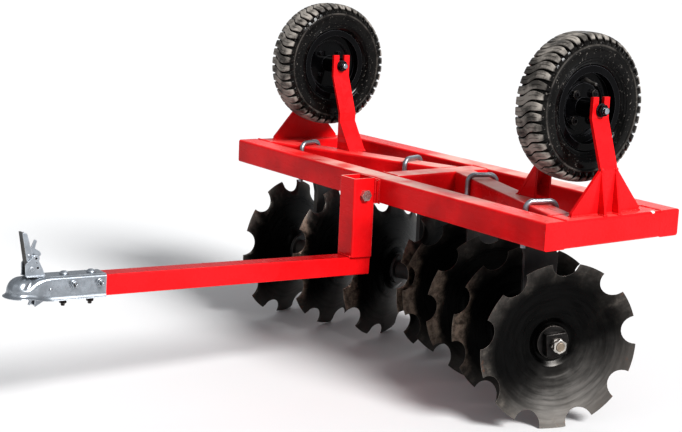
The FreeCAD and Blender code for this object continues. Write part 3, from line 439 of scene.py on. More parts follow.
def rim_enamel(name):
    """Glossy black paint of rims and axles, with a thin film of dust, and pale edges that are a painted
    highlight.
    """
    tone = bpy.context.scene.cultivator_finish
    enamel = Finish(name, Coat_Weight=0.16, Coat_Roughness=0.04, IOR=1.5, Specular_IOR_Level=0.02)
    cloud = enamel.noise(30.0, 6.0)
    film = enamel.noise(11.0, 5.0)
    enamel.base = enamel.mix(enamel.span(cloud, 0.35, 0.7), tone.enamel, (0.0022, 0.0022, 0.0026))
    enamel.lay(enamel.span(film, 0.60, 0.80, 0.0, 0.04), tone.dust)
    # painted highlight: pale lines along the rims' edges
    enamel.lay(enamel.edges(0.0014), (0.13, 0.13, 0.14), 0.55)
    return enamel.done(enamel.span(cloud, 0.3, 0.7, 0.16, 0.30), (enamel.noise(330.0, 2.0), 0.04, 0.0005),
                       (film, 0.08, 0.003), rounding=0.0014)


def tyre_rubber(name):
    """Black rubber, dusty on the tread and almost clean on the sidewall."""
    tone = bpy.context.scene.cultivator_finish
    tyre = bpy.context.scene.cultivator_tyre
    rubber = Finish(name, IOR=1.5, Specular_IOR_Level=0.12)
    rubber.centred((WHEEL_AT.x, 0.0, WHEEL_AT.z), math.radians(90))
    radius = rubber.radius_from_axle()
    cloud = rubber.noise(26.0, 8.0, 0.6)
    grain = rubber.noise(420.0, 3.0, 0.6)
    # the tread rounds down towards its shoulders, so heights are taken from its own line
    from_middle = rubber.maths("SUBTRACT", rubber.maths("ABSOLUTE", rubber.along("X")), WHEEL_AT.y)
    across = rubber.maths("DIVIDE", rubber.maths("ABSOLUTE", from_middle), tyre.half_width)
    fall = rubber.times(rubber.maths("POWER", rubber.maths("MINIMUM", across, 0.97), 3.5), 0.0112)
    height = rubber.plus(radius, fall, rubber.times(cloud, 0.003))
    on_tread = rubber.span(height, tyre.radius - tyre.groove * 0.35, tyre.radius + 0.001)
    on_wall = rubber.span(height, tyre.radius * 0.70, tyre.radius * 0.95, 0.0, 0.02)
    dust = rubber.times(rubber.plus(rubber.times(on_tread, 0.85), on_wall),
                        rubber.span(cloud, 0.38, 0.60, 0.25, 1.15))
    rubber.base = rubber.mix(dust, tone.rubber, tone.dust)
    # painted sheen: a pale line, in the dust's colour, where the tread meets the sidewall
    line = rubber.times(rubber.span(radius, 0.1325, 0.1350), rubber.span(radius, 0.1390, 0.1365))
    rubber.lay(rubber.times(line, rubber.span(cloud, 0.35, 0.65, 0.02, 0.22)), tone.dust)
    # small pale scuffs
    rubber.lay(rubber.span(rubber.noise(170.0, 4.0, 0.75), 0.62, 0.67), tone.dust, 0.60)
    return rubber.done(rubber.span(dust, 0.0, 0.7, 0.14, 0.95), (grain, 0.20, 0.0004), (cloud, 0.15, 0.0015),
                       rounding=0.0006)


def pale_floor(name):
    """Plain floor, a shade darker here and there."""
    tone = bpy.context.scene.cultivator_studio.floor
    floor = Finish(name, Specular_IOR_Level=0.2)
    cloud = floor.noise(0.8, 2.0)
    floor.base = floor.mix(floor.span(cloud, 0.2, 0.8), tone, shade(tone, 0.985))
    return floor.done(floor.span(cloud, 0.2, 0.8, 0.75, 0.80))


# each finish: how it is made, and its settings
FINISHES = {
    "red_powder_coat": (red_powder_coat,), "satin_black": (satin_black,), "rim_enamel": (rim_enamel,),
    "tyre_rubber": (tyre_rubber,), "pale_floor": (pale_floor,),
    "bright_zinc": (zinc_plate, 0.27), "dull_zinc": (zinc_plate, 0.36),
    "black_oxide": (dark_metal, (0.022, 0.020, 0.019), (0.24, 0.21, 0.19), 0.34),
    "worn_nut": (dark_metal, (0.52, 0.49, 0.45), (0.85, 0.83, 0.80), 0.27),
    "brown_steel": (dark_metal, (0.27, 0.22, 0.17), (0.42, 0.36, 0.30), 0.48),
}
# the record's slot to the finish that its construction pieces get
SLOT_FINISHES = {
    "red_paint": "red_powder_coat", "zinc": "bright_zinc", "black_steel": "satin_black",
    "rim_black": "rim_enamel", "tyre": "tyre_rubber", "disc_steel": "satin_black",
}
# pieces whose finish isn't their slot's
NODE_FINISHES = {
    "left_u_bolts": "dull_zinc", "right_u_bolts": "dull_zinc", "left_wheel_axle": "rim_enamel",
    "right_wheel_axle": "rim_enamel", "post_bolt": "worn_nut",
}


def finish(name):
    """The named finish, mixed once."""
    made = bpy.data.materials.get(name)
    if made is None:
        maker, *settings = FINISHES[name]
        made = maker(name, *settings)
    return made


# ------------------------------------------------------------------ mesh helpers
DOUBLED = 1e-6


def blend(low, high, share):
    return low + (high - low) * share


def eased(share):
    share = min(1.0, max(0.0, share))
    return share * share * (3 - 2 * share)


def on_ring(x, radius, turn):
    """The point at this radius and turn round the X axis."""
    return x, radius * math.cos(turn), radius * math.sin(turn)


def ended(shape, name):
    """End a bmesh as a new mesh."""
    mesh = bpy.data.meshes.new(name)
    shape.to_mesh(mesh)
    shape.free()
    return mesh


def settled(shape, name):
    """End a bmesh as a new mesh, its faces in an order that is the same in every run."""
    shape.verts.index_update()
    points = [tuple(vert.co) for vert in shape.verts]
    faces = sorted([vert.index for vert in face.verts] for face in shape.faces)
    shape.free()
    mesh = bpy.data.meshes.new(name)
    mesh.from_pydata(points, [], faces)
    return mesh


def placed(mesh, place):
    """The mesh itself, moved to a place."""
    mesh.transform(place)
    return mesh


def skin(name, columns, closed=False):
    """A mesh over columns of points of the same length."""
    points = [tuple(point) for column in columns for point in column]
    rows = len(columns[0])
    faces = []
    for i in range(len(columns) if closed else len(columns) - 1):
        here, there = i * rows, (i + 1) % len(columns) * rows
        faces += [(here + k, there + k, there + k + 1, here + k + 1) for k in range(rows - 1)]
    mesh = bpy.data.meshes.new(name)
    mesh.from_pydata(points, [], faces)
    return mesh


def outward(mesh):
    """Merge doubled points and turn the faces of a closed shell outwards."""
    shell = bmesh.new()
    shell.from_mesh(mesh)
    bmesh.ops.remove_doubles(shell, verts=shell.verts, dist=DOUBLED)
    bmesh.ops.recalc_face_normals(shell, faces=shell.faces)
    shell.to_mesh(mesh)
    shell.free()
    return mesh


def revolved(name, outline, steps):
    """A closed outline of (X, radius) points turned about the X axis."""
    turns = [math.tau * k / steps for k in range(steps)]
    columns = [[on_ring(x, radius, turn) for x, radius in outline + outline[:1]] for turn in turns]
    return outward(skin(name, columns, closed=True))


def joined(name, meshes):
    """Several meshes as one, without their materials."""
    whole = bmesh.new()
    for mesh in meshes:
        whole.from_mesh(mesh)
    return ended(whole, name)


def on_side(mesh, side):
    """A copy of a mesh that was made for the left, on the machine's side."""
    copy = mesh.copy()
    if side < 0:
        copy.transform(Matrix.Scale(-1, 4, (0, 1, 0)))
        copy.flip_normals()
    return copy


def piece(name, mesh, body, skin_name, crease=35.0, replaces=()):
    """Put a finished mesh on a body, smooth but for its sharp edges."""
    mesh.name = name
    mesh.materials.clear()
    mesh.materials.append(finish(skin_name))
    mesh.shade_smooth()
    mesh.set_sharp_from_angle(angle=math.radians(crease))
    made = bpy.data.objects.new(name, mesh)
    bpy.context.scene.collection.objects.link(made)
    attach(made, body)
    if replaces:
        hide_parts(*replaces)


def shifted(x, y=0.0, z=0.0):
    return Matrix.Translation((x, y, z))


def turned(degrees, axis="X"):
    return Matrix.Rotation(math.radians(degrees), 4, axis)


def seat(origin, axis):
    """The place of a piece that was made along +X: at origin, its X on axis, its Z kept upright."""
    along = Vector(axis).normalized()
    upright = Vector((0, 0, 1)) if abs(along.z) < 0.9 else Vector((1, 0, 0))
    across = upright.cross(along).normalized()
    turn = Matrix((along, across, along.cross(across))).transposed()
    return Matrix.Translation(origin) @ turn.to_4x4()


# ------------------------------------------------------------------ geometry-nodes trees
class Grower(Nodes):
    """A geometry-nodes tree being built, with named inputs. It copies one instance onto points."""

    def __init__(self, name, **inputs):
        self.tree = bpy.data.node_groups.new(name, "GeometryNodeTree")
        face = self.tree.interface
        face.new_socket("Geometry", in_out="INPUT", socket_type="NodeSocketGeometry")
        for label, kind in inputs.items():
            face.new_socket(label, in_out="INPUT", socket_type="NodeSocket" + kind)
        face.new_socket("Finish", in_out="INPUT", socket_type="NodeSocketMaterial")
        face.new_socket("Geometry", in_out="OUTPUT", socket_type="NodeSocketGeometry")
        self.given = self.add("NodeGroupInput").outputs

    def copies(self, **sockets):
        """End the tree: copies of the instance on the points, made real, with one finish."""
        copies = self.add("GeometryNodeInstanceOnPoints", sockets).outputs["Instances"]
        real = self.add("GeometryNodeRealizeInstances", {"Geometry": copies}).outputs["Geometry"]
        if "Merge" in self.given:
            sockets = {"Geometry": real, "Distance": self.given["Merge"]}
            real = self.add("GeometryNodeMergeByDistance", sockets).outputs["Geometry"]
        painted = self.add("GeometryNodeSetMaterial", {"Geometry": real, "Material": self.given["Finish"]})
        self.add("NodeGroupOutput", {"Geometry": painted.outputs["Geometry"]})
        return self.tree


def ring_of_copies(name):
    """Copies of the piece turned evenly about the X axis."""
    grower = Grower(name, Copies="Int", Merge="Float")
    given = grower.given
    points = grower.add("GeometryNodePoints", {"Count": given["Copies"]})
    step = grower.maths("DIVIDE", math.tau, given["Copies"])
    turn = grower.times(grower.add("GeometryNodeInputIndex").outputs["Index"], step)
    euler = grower.add("ShaderNodeCombineXYZ", {"X": turn}).outputs["Vector"]
    rotation = grower.add("FunctionNodeEulerToRotation", {"Euler": euler}).outputs["Rotation"]
    return grower.copies(Points=points.outputs[0], Instance=given["Geometry"], Rotation=rotation)


def weld_bead(name):
    """Overlapping ripples along each line of the mesh."""
    grower = Grower(name, Width="Float", Ripple="Float", Seed="Int")
    given = grower.given
    lines = grower.add("GeometryNodeMeshToCurve", {"Mesh": given["Geometry"]}).outputs["Curve"]
    points = grower.add("GeometryNodeCurveToPoints", {"Curve": lines, "Length": given["Ripple"]},
                        mode="LENGTH").outputs
    ball = grower.add("GeometryNodeMeshUVSphere", {"Segments": 8, "Rings": 5, "Radius": 0.5})
    size = grower.add("FunctionNodeRandomValue", {"Seed": given["Seed"]}, data_type="FLOAT")
    smallest, largest = size.inputs[2], size.inputs[3]
    smallest.default_value, largest.default_value = 0.84, 1.12
    width = grower.times(size.outputs[1], given["Width"])
    deep = grower.times(width, 0.62)
    scale = grower.add("ShaderNodeCombineXYZ", {"X": width, "Y": width, "Z": deep}).outputs["Vector"]
    return grower.copies(Points=points["Points"], Instance=ball.outputs["Mesh"], Rotation=points["Rotation"],
                         Scale=scale)


def thread(name):
    """A thread's ridge round each point of the mesh, along the point's direction."""
    grower = Grower(name, Radius="Float", Pitch="Float", Turns="Float")
    given = grower.given
    helix = grower.add("GeometryNodeCurveSpiral", {
        "Resolution": 18, "Rotations": given["Turns"], "Start Radius": given["Radius"],
        "End Radius": given["Radius"], "Height": grower.times(given["Pitch"], given["Turns"])})
    ridge = grower.add("GeometryNodeCurvePrimitiveCircle", {"Resolution": 4,
                                                            "Radius": grower.times(given["Pitch"], 0.42)})
    body = grower.add("GeometryNodeCurveToMesh", {
        "Curve": helix.outputs["Curve"], "Profile Curve": ridge.outputs["Curve"], "Fill Caps": True})
    along = grower.add("GeometryNodeInputNamedAttribute", {"Name": "along"}, data_type="FLOAT_VECTOR")
    aim = grower.add("FunctionNodeAlignRotationToVector", {"Vector": along.outputs["Attribute"]}, axis="Z")
    return grower.copies(Points=given["Geometry"], Instance=body.outputs["Mesh"],
                         Rotation=aim.outputs["Rotation"])


def mould_hairs(name):
    """Mould hairs scattered over the mesh, leaning a little from its faces."""
    grower = Grower(name, Hairs="Int", Length="Float", Seed="Int")
    given = grower.given
    area = grower.add("GeometryNodeInputMeshFaceArea").outputs["Area"]
    whole = grower.add("GeometryNodeAttributeStatistic", {"Geometry": given["Geometry"], "Attribute": area},
                       domain="FACE").outputs["Sum"]
    spread = grower.add("GeometryNodeDistributePointsOnFaces", {
        "Mesh": given["Geometry"], "Density": grower.maths("DIVIDE", given["Hairs"], whole),
        "Seed": given["Seed"]}).outputs
    hair = grower.add("GeometryNodeMeshCone", {
        "Vertices": 3, "Radius Top": 0.0002, "Radius Bottom": 0.0004, "Depth": given["Length"]},
        fill_type="NONE")
    lean = grower.add("FunctionNodeRandomValue", {"Seed": given["Seed"]}, data_type="FLOAT_VECTOR")
    least, most = lean.inputs[0], lean.inputs[1]
    least.default_value, most.default_value = (-0.5, -0.5, -0.5), (0.5, 0.5, 0.5)
    turn = grower.add("FunctionNodeEulerToRotation", {"Euler": lean.outputs["Value"]}).outputs["Rotation"]
    both = grower.add("FunctionNodeRotateRotation", {"Rotation": spread["Rotation"], "Rotate By": turn},
                      rotation_space="LOCAL")
    return grower.copies(Points=spread["Points"], Instance=hair.outputs["Mesh"],
                         Rotation=both.outputs["Rotation"])


TREES = {tree.__name__: tree for tree in (ring_of_copies, weld_bead, thread, mould_hairs)}


def grown(mesh, tree_name, **inputs):
    """The mesh that a tree makes from this one."""
    tree = bpy.data.node_groups.get(tree_name) or TREES[tree_name](tree_name)
    holder = bpy.data.objects.new(tree_name, mesh)
    bpy.context.scene.collection.objects.link(holder)
    modifier = holder.modifiers.new(tree_name, "NODES")
    modifier.node_group = tree
    for item in tree.interface.items_tree:
        if item.in_out == "INPUT" and item.name in inputs:
            modifier[item.identifier] = inputs[item.name]
    bpy.context.view_layer.update()
    result = bpy.data.meshes.new_from_object(holder.evaluated_get(bpy.context.evaluated_depsgraph_get()))
    bpy.data.objects.remove(holder)
    if not result.polygons:
        raise RuntimeError("%s made nothing" % tree_name)
    return result


# ------------------------------------------------------------------ disc blades
CREASE_AT, CREASE_WIDTH = 0.075, 0.007
STEP_WIDTH = 0.0120
# steel left at the ground edge
SHARP = 0.0011
# a blade's rings of points, out to where even rings lead on to its ground edge
BLADE_RINGS = [0.030, 0.0435, 0.0450, 0.0465, 0.0485, 0.0505, 0.0525, 0.0545, 0.0562, 0.0585, 0.066, 0.0745,
               0.0765, 0.0785, 0.0805, 0.0825, 0.092, 0.106, 0.120]
# first notch's turn from the forward horizontal, outermost blade first
BLADE_TURNS = (10.7, 20.7, 0.7, 10.7)


def blade_height(radius, blade):
    """How far the hollow face stands above the flat middle."""
    beyond = max(0.0, radius - blade.flat_radius)
    rise = (blade.dish - blade.step - blade.crease) * (beyond / (blade.radius - blade.flat_radius)) ** 1.5
    # a short even slope round the flat middle, and a faint crease further out
    lift = min(1.0, beyond / STEP_WIDTH)
    crease = eased((radius - CREASE_AT) / CREASE_WIDTH)
    return rise + blade.step * blend(lift, eased(lift), 0.25) + blade.crease * crease


def blade_rim(blade):
    """Rim as (turn, radius): half a tooth, a notch's arc, half a tooth."""
    half_chord = blade.radius * math.sin(blade.notch_half)
    chord_at = blade.radius * math.cos(blade.notch_half)
    depth = blade.notch_depth - (blade.radius - chord_at)
    notch_radius = (half_chord ** 2 + depth ** 2) / (2 * depth)
    notch_at = chord_at - depth + notch_radius
    half_pitch = math.pi / blade.notches
    tooth_steps, notch_steps = 4, 12
    tooth = [half_pitch - (half_pitch - blade.notch_half) * k / tooth_steps for k in range(tooth_steps)]
    corner = math.atan2(half_chord, notch_at - chord_at)
    rim = [(-turn, blade.radius) for turn in tooth]
    for k in range(notch_steps + 1):
        swing = -corner + 2 * corner * k / notch_steps
        across, out = notch_radius * math.sin(swing), notch_at - notch_radius * math.cos(swing)
        rim.append((math.atan2(across, out), math.hypot(across, out)))
    return rim + [(turn, blade.radius) for turn in reversed(tooth)]


def blade_sector(blade):
    """One notch with half a tooth on each side, its axle on X, its rim plane at X = 0."""
    last = BLADE_RINGS[-1]
    even = 4
    columns = []
    for turn, rim in blade_rim(blade):
        outer = [last + (rim - blade.ground - last) * k / even for k in range(1, even + 1)]
        front = [(-blade.dish + blade_height(ring, blade), ring) for ring in BLADE_RINGS + outer + [rim]]
        back = [(x - blade.thickness, ring) for x, ring in front[:-1]] + [(front[-1][0] - SHARP, rim)]
        section = front + back[::-1]
        columns.append([on_ring(x, ring, turn) for x, ring in section + section[:1]])
    return skin("blade_sector", columns)


def add_blades():
    blade = bpy.context.scene.cultivator_blade
    whole = outward(grown(blade_sector(blade), "ring_of_copies", Copies=blade.notches, Merge=2e-5))
    for order, turn in enumerate(BLADE_TURNS):
        centre = GANG_AT - GANG_AXIS * blade.pitch * order
        # the sector's notch is on +Y of the blade, and forwards is -Y
        mesh = placed(whole.copy(), seat(centre, GANG_AXIS) @ turned(180 - turn))
        for name, side in SIDES:
            node = "%s_disc_%d" % (name, order + 1)
            steel = "blade_steel_" + node
            blade_steel(steel, (centre.x, side * centre.y, centre.z), side, crusted=order > 0)
            piece(node + "_blade", on_side(mesh, side), name + "_gang", steel, replaces=(node,))


# ------------------------------------------------------------------ tyres
def tyre_outline(tyre):
    """Carcass section as (X, radius), from bead to bead under the tread bars."""
    floor = tyre.radius - tyre.groove
    half = tyre.half_width
    # one side: crown and shoulder ring as (share of the half width, drop below the grooves' floor)
    crown = ((0.0, 0.0), (0.40, 0.0006), (0.66, 0.002), (0.84, 0.0055), (0.945, 0.011), (0.975, 0.0150),
             (1.00, 0.0170), (1.012, 0.0185), (1.00, 0.0202), (0.982, 0.0215))
    # then the sidewall with its rings as (share of the half width, radius), and the bead
    wall = ((0.990, 0.128), (1.00, 0.122), (0.998, 0.1165), (0.978, 0.1115), (0.958, 0.1090), (0.975, 0.1083),
            (0.962, 0.1062), (0.935, 0.1058), (0.902, 0.1025), (0.918, 0.1018), (0.900, 0.0998),
            (0.870, 0.0995), (0.820, 0.0955), (0.775, 0.0937), (0.7100, 0.0928))
    bead = [(0.0277, 0.0915), (0.0277, 0.0840)]
    side = [(half * share, floor - drop) for share, drop in crown]
    side += [(half * share, radius) for share, radius in wall] + bead
    return side + [(-x, radius) for x, radius in reversed(side[1:])]


# sweep of a tread bar from one side to the other, how suddenly it turns, and its curl at the shoulders
SWEEP, TURN, CURL = -0.42, 3.4, 0.10
# share of the half width where the shoulder begins, and between which a bar's top has its cut
SHOULDER_AT, CUT_FROM, CUT_TO = 0.9, 0.15, 0.80
CUT_DEPTH = 0.0016
BAR_FOOT, SHOULDER_FOOT = 0.0015, 0.004
# a tread bar across the tyre: (share of the half width, drop from the crown, share of the pitch that is bar)
BAR_ROWS = ((0.00, 0.0000, 0.88), (0.10, 0.0000, 0.86), (0.20, 0.0001, 0.82), (0.32, 0.0003, 0.80),
            (0.46, 0.0007, 0.79), (0.60, 0.0013, 0.77), (0.72, 0.0024, 0.74), (0.83, 0.0048, 0.69),
            (0.92, 0.0085, 0.63), (0.975, 0.0130, 0.58), (1.005, 0.0180, 0.54), (1.000, 0.0240, 0.52))


def tread_bar(tyre):
    """One curved tread bar across the tyre, its axle on X, with a thin cut along its top."""
    pitch = math.tau / tyre.bars
    columns = []
    for across, drop, share in [(-row[0], row[1], row[2]) for row in BAR_ROWS[:0:-1]] + list(BAR_ROWS):
        top = tyre.radius - drop
        swept = SWEEP * math.tanh(TURN * across) + CURL * across ** 3
        at_shoulder = abs(across) > SHOULDER_AT
        # a bar's foot stands a little inside the carcass
        sunk = SHOULDER_FOOT if at_shoulder else tyre.groove + BAR_FOOT
        cut = CUT_DEPTH if CUT_FROM < abs(across) < CUT_TO else 0.0
        # along the tread: (share of the bar's half, depth below its top)
        section = ((-1.06, sunk), (-1.0, 0.0007), (-0.93, 0.0), (-0.10, 0.0), (-0.03, cut), (0.03, cut),
                   (0.10, 0.0), (0.93, 0.0), (1.0, 0.0007), (1.06, sunk))
        column = []
        for place, depth in section:
            turn = pitch * swept + pitch * share / 2 * place
            inwards = min(1.0, depth / SHOULDER_FOOT) * BAR_FOOT if at_shoulder else 0.0
            x = math.copysign(abs(across * tyre.half_width) - inwards, across)
            column.append(on_ring(x, top - depth, turn))
        columns.append(column)
    return skin("tread_bar", columns)


def add_tyres():
    tyre = bpy.context.scene.cultivator_tyre
    carcass = revolved("tyre_carcass", tyre_outline(tyre), 144)
    bars = grown(tread_bar(tyre), "ring_of_copies", Copies=tyre.bars, Merge=0.0)
    facing = bars.polygons[len(bars.polygons) // 2]
    if facing.normal.dot(Vector((0.0, facing.center.y, facing.center.z))) < 0:
        bars.flip_normals()
    hairs = grown(bars.copy(), "mould_hairs", Hairs=tyre.hairs, Length=tyre.hair_length, Seed=7)
    whole = placed(joined("tyre", [carcass, bars, hairs]), seat(WHEEL_AT, (0, 1, 0)))
    for name, side in SIDES:
        piece(name + "_tyre_treaded", on_side(whole, side), name + "_wheel", "tyre_rubber", 40,
              replaces=(name + "_tyre",))


# ------------------------------------------------------------------ nuts, threads and hubs
# radius and pitch of the bolts' and axles' threads
M8, M16 = (0.0041, 0.00125), (0.008, 0.002)
U_BOLT_PITCH = 0.00175
# what stands out of the last nut
POST_BOLT_END, AXLE_END = 0.0048, 0.0080
# how much of its end a bar leaves without thread
PLAIN_END = 0.0002
# a nut's round face as a share of its flat, and how deep its chamfer cuts at a corner
NUT_FACE, NUT_CHAMFER = 0.97, 0.10


def hex_nut(across_flats, thick, bore):
    """A hexagonal nut on +X from the origin, its corners taken off by a round chamfer."""
    flat = across_flats / 2
    past_flat = flat / math.cos(math.pi / 6) - flat
    columns = []
    for k in range(24):
        turn = math.tau * k / 24
        reach = flat / math.cos(abs(turn % (math.pi / 3) - math.pi / 6))
        lost = flat * NUT_CHAMFER * (reach - flat) / past_flat
        face = flat * NUT_FACE
        section = ((0.0, bore), (0.0, face), (lost, reach), (thick - lost, reach), (thick, face),
                   (thick, bore + 0.0006), (thick - 0.0006, bore))
        columns.append([on_ring(x, radius, turn) for x, radius in section + section[:1]])
    return outward(skin("hex_nut", columns, closed=True))


def bar_end(start, end, radius, chamfer):
    """A round bar along X, chamfered at its far end."""
    way = math.copysign(chamfer, end - start)
    outline = [(start, 0.0), (start, radius), (end - way, radius), (end, radius - chamfer), (end, 0.0)]
    return revolved("bar_end", outline, 24)


def threads(name, skin_name, size, ends):
    """Thread ridges on bar ends of the frame, each (start, direction, length)."""
    radius, pitch = size
    made = []
    for start, along, run in ends:
        point = bpy.data.meshes.new("thread_end")
        point.from_pydata([tuple(start)], [], [])
        point.attributes.new("along", "FLOAT_VECTOR", "POINT").data[0].vector = Vector(along).normalized()
        ridge_at = radius - pitch * 0.30
        made.append(grown(point, "thread", Radius=ridge_at, Pitch=pitch, Turns=run / pitch - 0.5))
    piece(name, joined(name, made), "frame", skin_name, 30)


def low_ends(node, apart=0.004):
    """Middles of the separate faces at a piece's lowest level."""
    shape = bpy.data.objects[node]
    points = [shape.matrix_world @ vertex.co for vertex in shape.data.vertices]
    lowest = min(point.z for point in points)
    groups = []
    for point in (point for point in points if point.z < lowest + 0.0002):
        near = [group for group in groups if any((point - other).length < apart for other in group)]
        groups = [group for group in groups if group not in near]
        groups.append([point] + [other for group in near for other in group])
    middles = []
    for group in groups:
        xs, ys = [point.x for point in group], [point.y for point in group]
        middles.append(Vector(((min(xs) + max(xs)) / 2, (min(ys) + max(ys)) / 2, lowest)))
    return middles


def add_threads():
    """Threads on the post bolt, on the U-bolts' tails and on the axles' ends."""
    trim = bpy.context.scene.cultivator_trim
    tail = trim.u_tail
    low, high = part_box("post_bolt")
    bolt = (low + high) / 2
    threads("post_bolt_threads", "worn_nut", M16,
            [((bolt.x, low.y + POST_BOLT_END, bolt.z), (0, -1, 0), POST_BOLT_END - PLAIN_END)])
    for name, _ in SIDES:
        tails = [(end + Vector((0, 0, tail)), (0, 0, -1), tail - 2 * PLAIN_END)
                 for end in low_ends(name + "_u_bolts")]
        threads(name + "_u_bolt_threads", "dull_zinc", (trim.u_bar / 2, U_BOLT_PITCH), tails)
        low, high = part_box(name + "_wheel_axle")
        ends = [((WHEEL_AT.x, y - way * AXLE_END, WHEEL_AT.z), (0, way, 0), AXLE_END - PLAIN_END)
                for y, way in ((high.y, 1), (low.y, -1))]
        threads(name + "_axle_threads", "bright_zinc", M16, ends)
        # the bright cores of the axle's ends
        caps = [placed(bar_end(0.0, run + 0.0006, 0.0078, 0.0016), seat(start, along))
                for start, along, run in ends]
        piece(name + "_axle_ends", joined("axle_ends", caps), "frame", "bright_zinc", 30)


def add_hubs():
    """Each gang's outer end: round plate, thick square washer, two nuts, and the shaft's threaded stud."""
    plate = revolved("hub_plate", [(-0.040, 0.0), (-0.040, 0.037), (-0.039, 0.038), (-0.0345, 0.038),
                                   (-0.0326, 0.0370), (-0.0320, 0.0350), (-0.0320, 0.0)], 64)
    thick, side_length = 0.019, 0.049
    block = bmesh.new()
    bmesh.ops.create_cube(block, size=1.0, matrix=shifted(-0.0225)
                          @ Matrix.Diagonal((thick, side_length, side_length, 1.0)))
    bmesh.ops.bevel(block, geom=block.edges, offset=0.0016, segments=3, affect="EDGES", profile=0.5)
    washer = placed(ended(block, "hub_washer"), turned(6))
    nuts = joined("hub_nuts", [placed(hex_nut(0.0285, high, 0.0102), shifted(start) @ turned(turn))
                               for start, high, turn in ((-0.0130, 0.0080, 8), (-0.0046, 0.0086, 28))])
    stud = bar_end(-0.020, 0.0066, 0.0100, 0.0012)
    parts = (("hub_plate", plate, "black_oxide"), ("hub_washer", washer, "black_oxide"),
             ("hub_nuts", nuts, "worn_nut"), ("hub_stud", stud, "brown_steel"))
    for _, mesh, _ in parts:
        mesh.transform(seat(GANG_AT, GANG_AXIS))
    for name, side in SIDES:
        for word, mesh, skin_name in parts:
            replaced = (name + "_gang_hub_nut",) if word == "hub_plate" else ()
            piece("%s_%s" % (name, word), on_side(mesh, side), name + "_gang", skin_name, 30,
                  replaces=replaced)


def add_wheel_fittings():
    """Four nuts and a valve on each wheel."""
    wheel = seat(WHEEL_AT, (0, 1, 0))
    nut = placed(hex_nut(0.0174, 0.0086, 0.0046), shifted(0.0085, 0.040))
    ring = placed(grown(nut, "ring_of_copies", Copies=4, Merge=0.0), wheel @ turned(45))
    stem = revolved("valve", [(0.0, 0.0), (0.0, 0.0052), (0.006, 0.0046), (0.014, 0.0042), (0.016, 0.0031),
                              (0.026, 0.0030), (0.0265, 0.0038), (0.034, 0.0038), (0.035, 0.0028),
                              (0.035, 0.0)], 20)
    stem.transform(wheel @ shifted(0.010, 0.0, 0.0595) @ turned(12, "Y"))
    for name, side in SIDES:
        piece(name + "_wheel_nuts", on_side(ring, side), name + "_wheel", "black_oxide", 30)
        piece(name + "_valve", on_side(stem, side), name + "_wheel", "satin_black", 30)


# ------------------------------------------------------------------ coupler's shell
# the flare at a lower edge: (share of the lip, height above the edge)
FLARE = ((1.0, 0.0), (0.97, 0.0008), (0.72, 0.0020), (0.40, 0.0042), (0.14, 0.0068), (0.0, 0.0100))
# how far along the rows above the flare the channel's wall ends, and its rounded corner
WALL_ENDS, CORNER_ENDS = 0.28, 0.68
ROWS = 24


def shell_section(part, share):
    """Outer skin from lip to crown as (reach, height above the ball), from channel at 0 to dome at 1."""
    half = blend(part.sleeve_half, part.dome, eased(share * 1.4))
    lip = blend(part.flange, part.lip, share)
    bottom = -blend(part.sleeve_skirt, part.skirt, share)
    rows = [(half + lip * out, bottom + up) for out, up in FLARE]
    wall_low, wall_high = bottom + FLARE[-1][1], part.dome - part.corner
    for k in range(1, ROWS + 1):
        along = k / ROWS
        turn = math.pi / 2 * along
        if along < WALL_ENDS:
            reach, height = half, blend(wall_low, wall_high, along / WALL_ENDS)
        elif along < CORNER_ENDS:
            bend = math.pi / 2 * (along - WALL_ENDS) / (CORNER_ENDS - WALL_ENDS)
            reach = half - part.corner * (1 - math.cos(bend))
            height = part.dome - part.corner * (1 - math.sin(bend))
        else:
            reach = (half - part.corner) * (1 - (along - CORNER_ENDS) / (1 - CORNER_ENDS))
            height = part.dome
        rows.append((blend(reach, part.dome * math.cos(turn), share),
                     blend(height, part.dome * math.sin(turn), share)))
    return rows


def shell_path(part):
    """Stations round the shell, rear left to rear right: (X from the pin, turn, share of the dome)."""
    rear = -part.sleeve_behind
    neck = rear + part.sleeve_length
    side = [rear + part.sleeve_length * k / 10 for k in range(10)]
    side += [blend(neck, part.ball_ahead, k / 28) for k in range(29)]
    path = [(x, math.pi / 2, (x - neck) / (part.ball_ahead - neck)) for x in side]
    nose = [(part.ball_ahead, math.pi / 2 - math.pi * k / 36, 1.0) for k in range(1, 36)]
    return path + nose + [(x, -turn, share) for x, turn, share in reversed(path)]


def coupler_shell(part):
    """The pressed shell: a channel that runs into a domed nose with a flared lip, open below."""
    columns = []
    ball = Vector((part.ball_ahead, 0.0, 0.0))
    for x, turn, along in shell_path(part):
        column = []
        for reach, height in shell_section(part, eased(along)):
            point = Vector((x + reach * math.cos(turn), reach * math.sin(turn), height))
            # a valley parts the dome from the channel's shoulders, further ahead on its flanks
            high = height / part.dome
            from_valley = (point.x - part.ball_ahead - 0.004 + 0.026 * high) / 0.0065
            sunk = part.valley * math.exp(-from_valley ** 2) * eased((high - 0.05) / 0.35)
            point += (ball - point).normalized() * sunk
            column.append(point - Vector((0, 0, part.ball_below)))
        columns.append(column)
    shell = bmesh.new()
    shell.from_mesh(outward(skin("shell", columns)))
    crown = max(shell.faces, key=lambda face: face.calc_center_median().z)
    if crown.normal.z < 0:
        bmesh.ops.reverse_faces(shell, faces=shell.faces)
    bmesh.ops.solidify(shell, geom=shell.faces[:], thickness=part.sheet)
    return settled(shell, "shell")


# ------------------------------------------------------------------ coupler's folded sheets and bolts
def rounded(corners, radius, steps=4):
    """An outline with every corner rounded by a quadratic bend."""
    outline = []
    for k, corner in enumerate(corners):
        here = Vector(corner)
        to_last = Vector(corners[k - 1]) - here
        to_next = Vector(corners[(k + 1) % len(corners)]) - here
        before = here + to_last * min(0.45, radius / to_last.length)
        after = here + to_next * min(0.45, radius / to_next.length)
        for j in range(steps + 1):
            share = j / steps
            outline.append(before.lerp(here, share).lerp(here.lerp(after, share), share))
    return outline


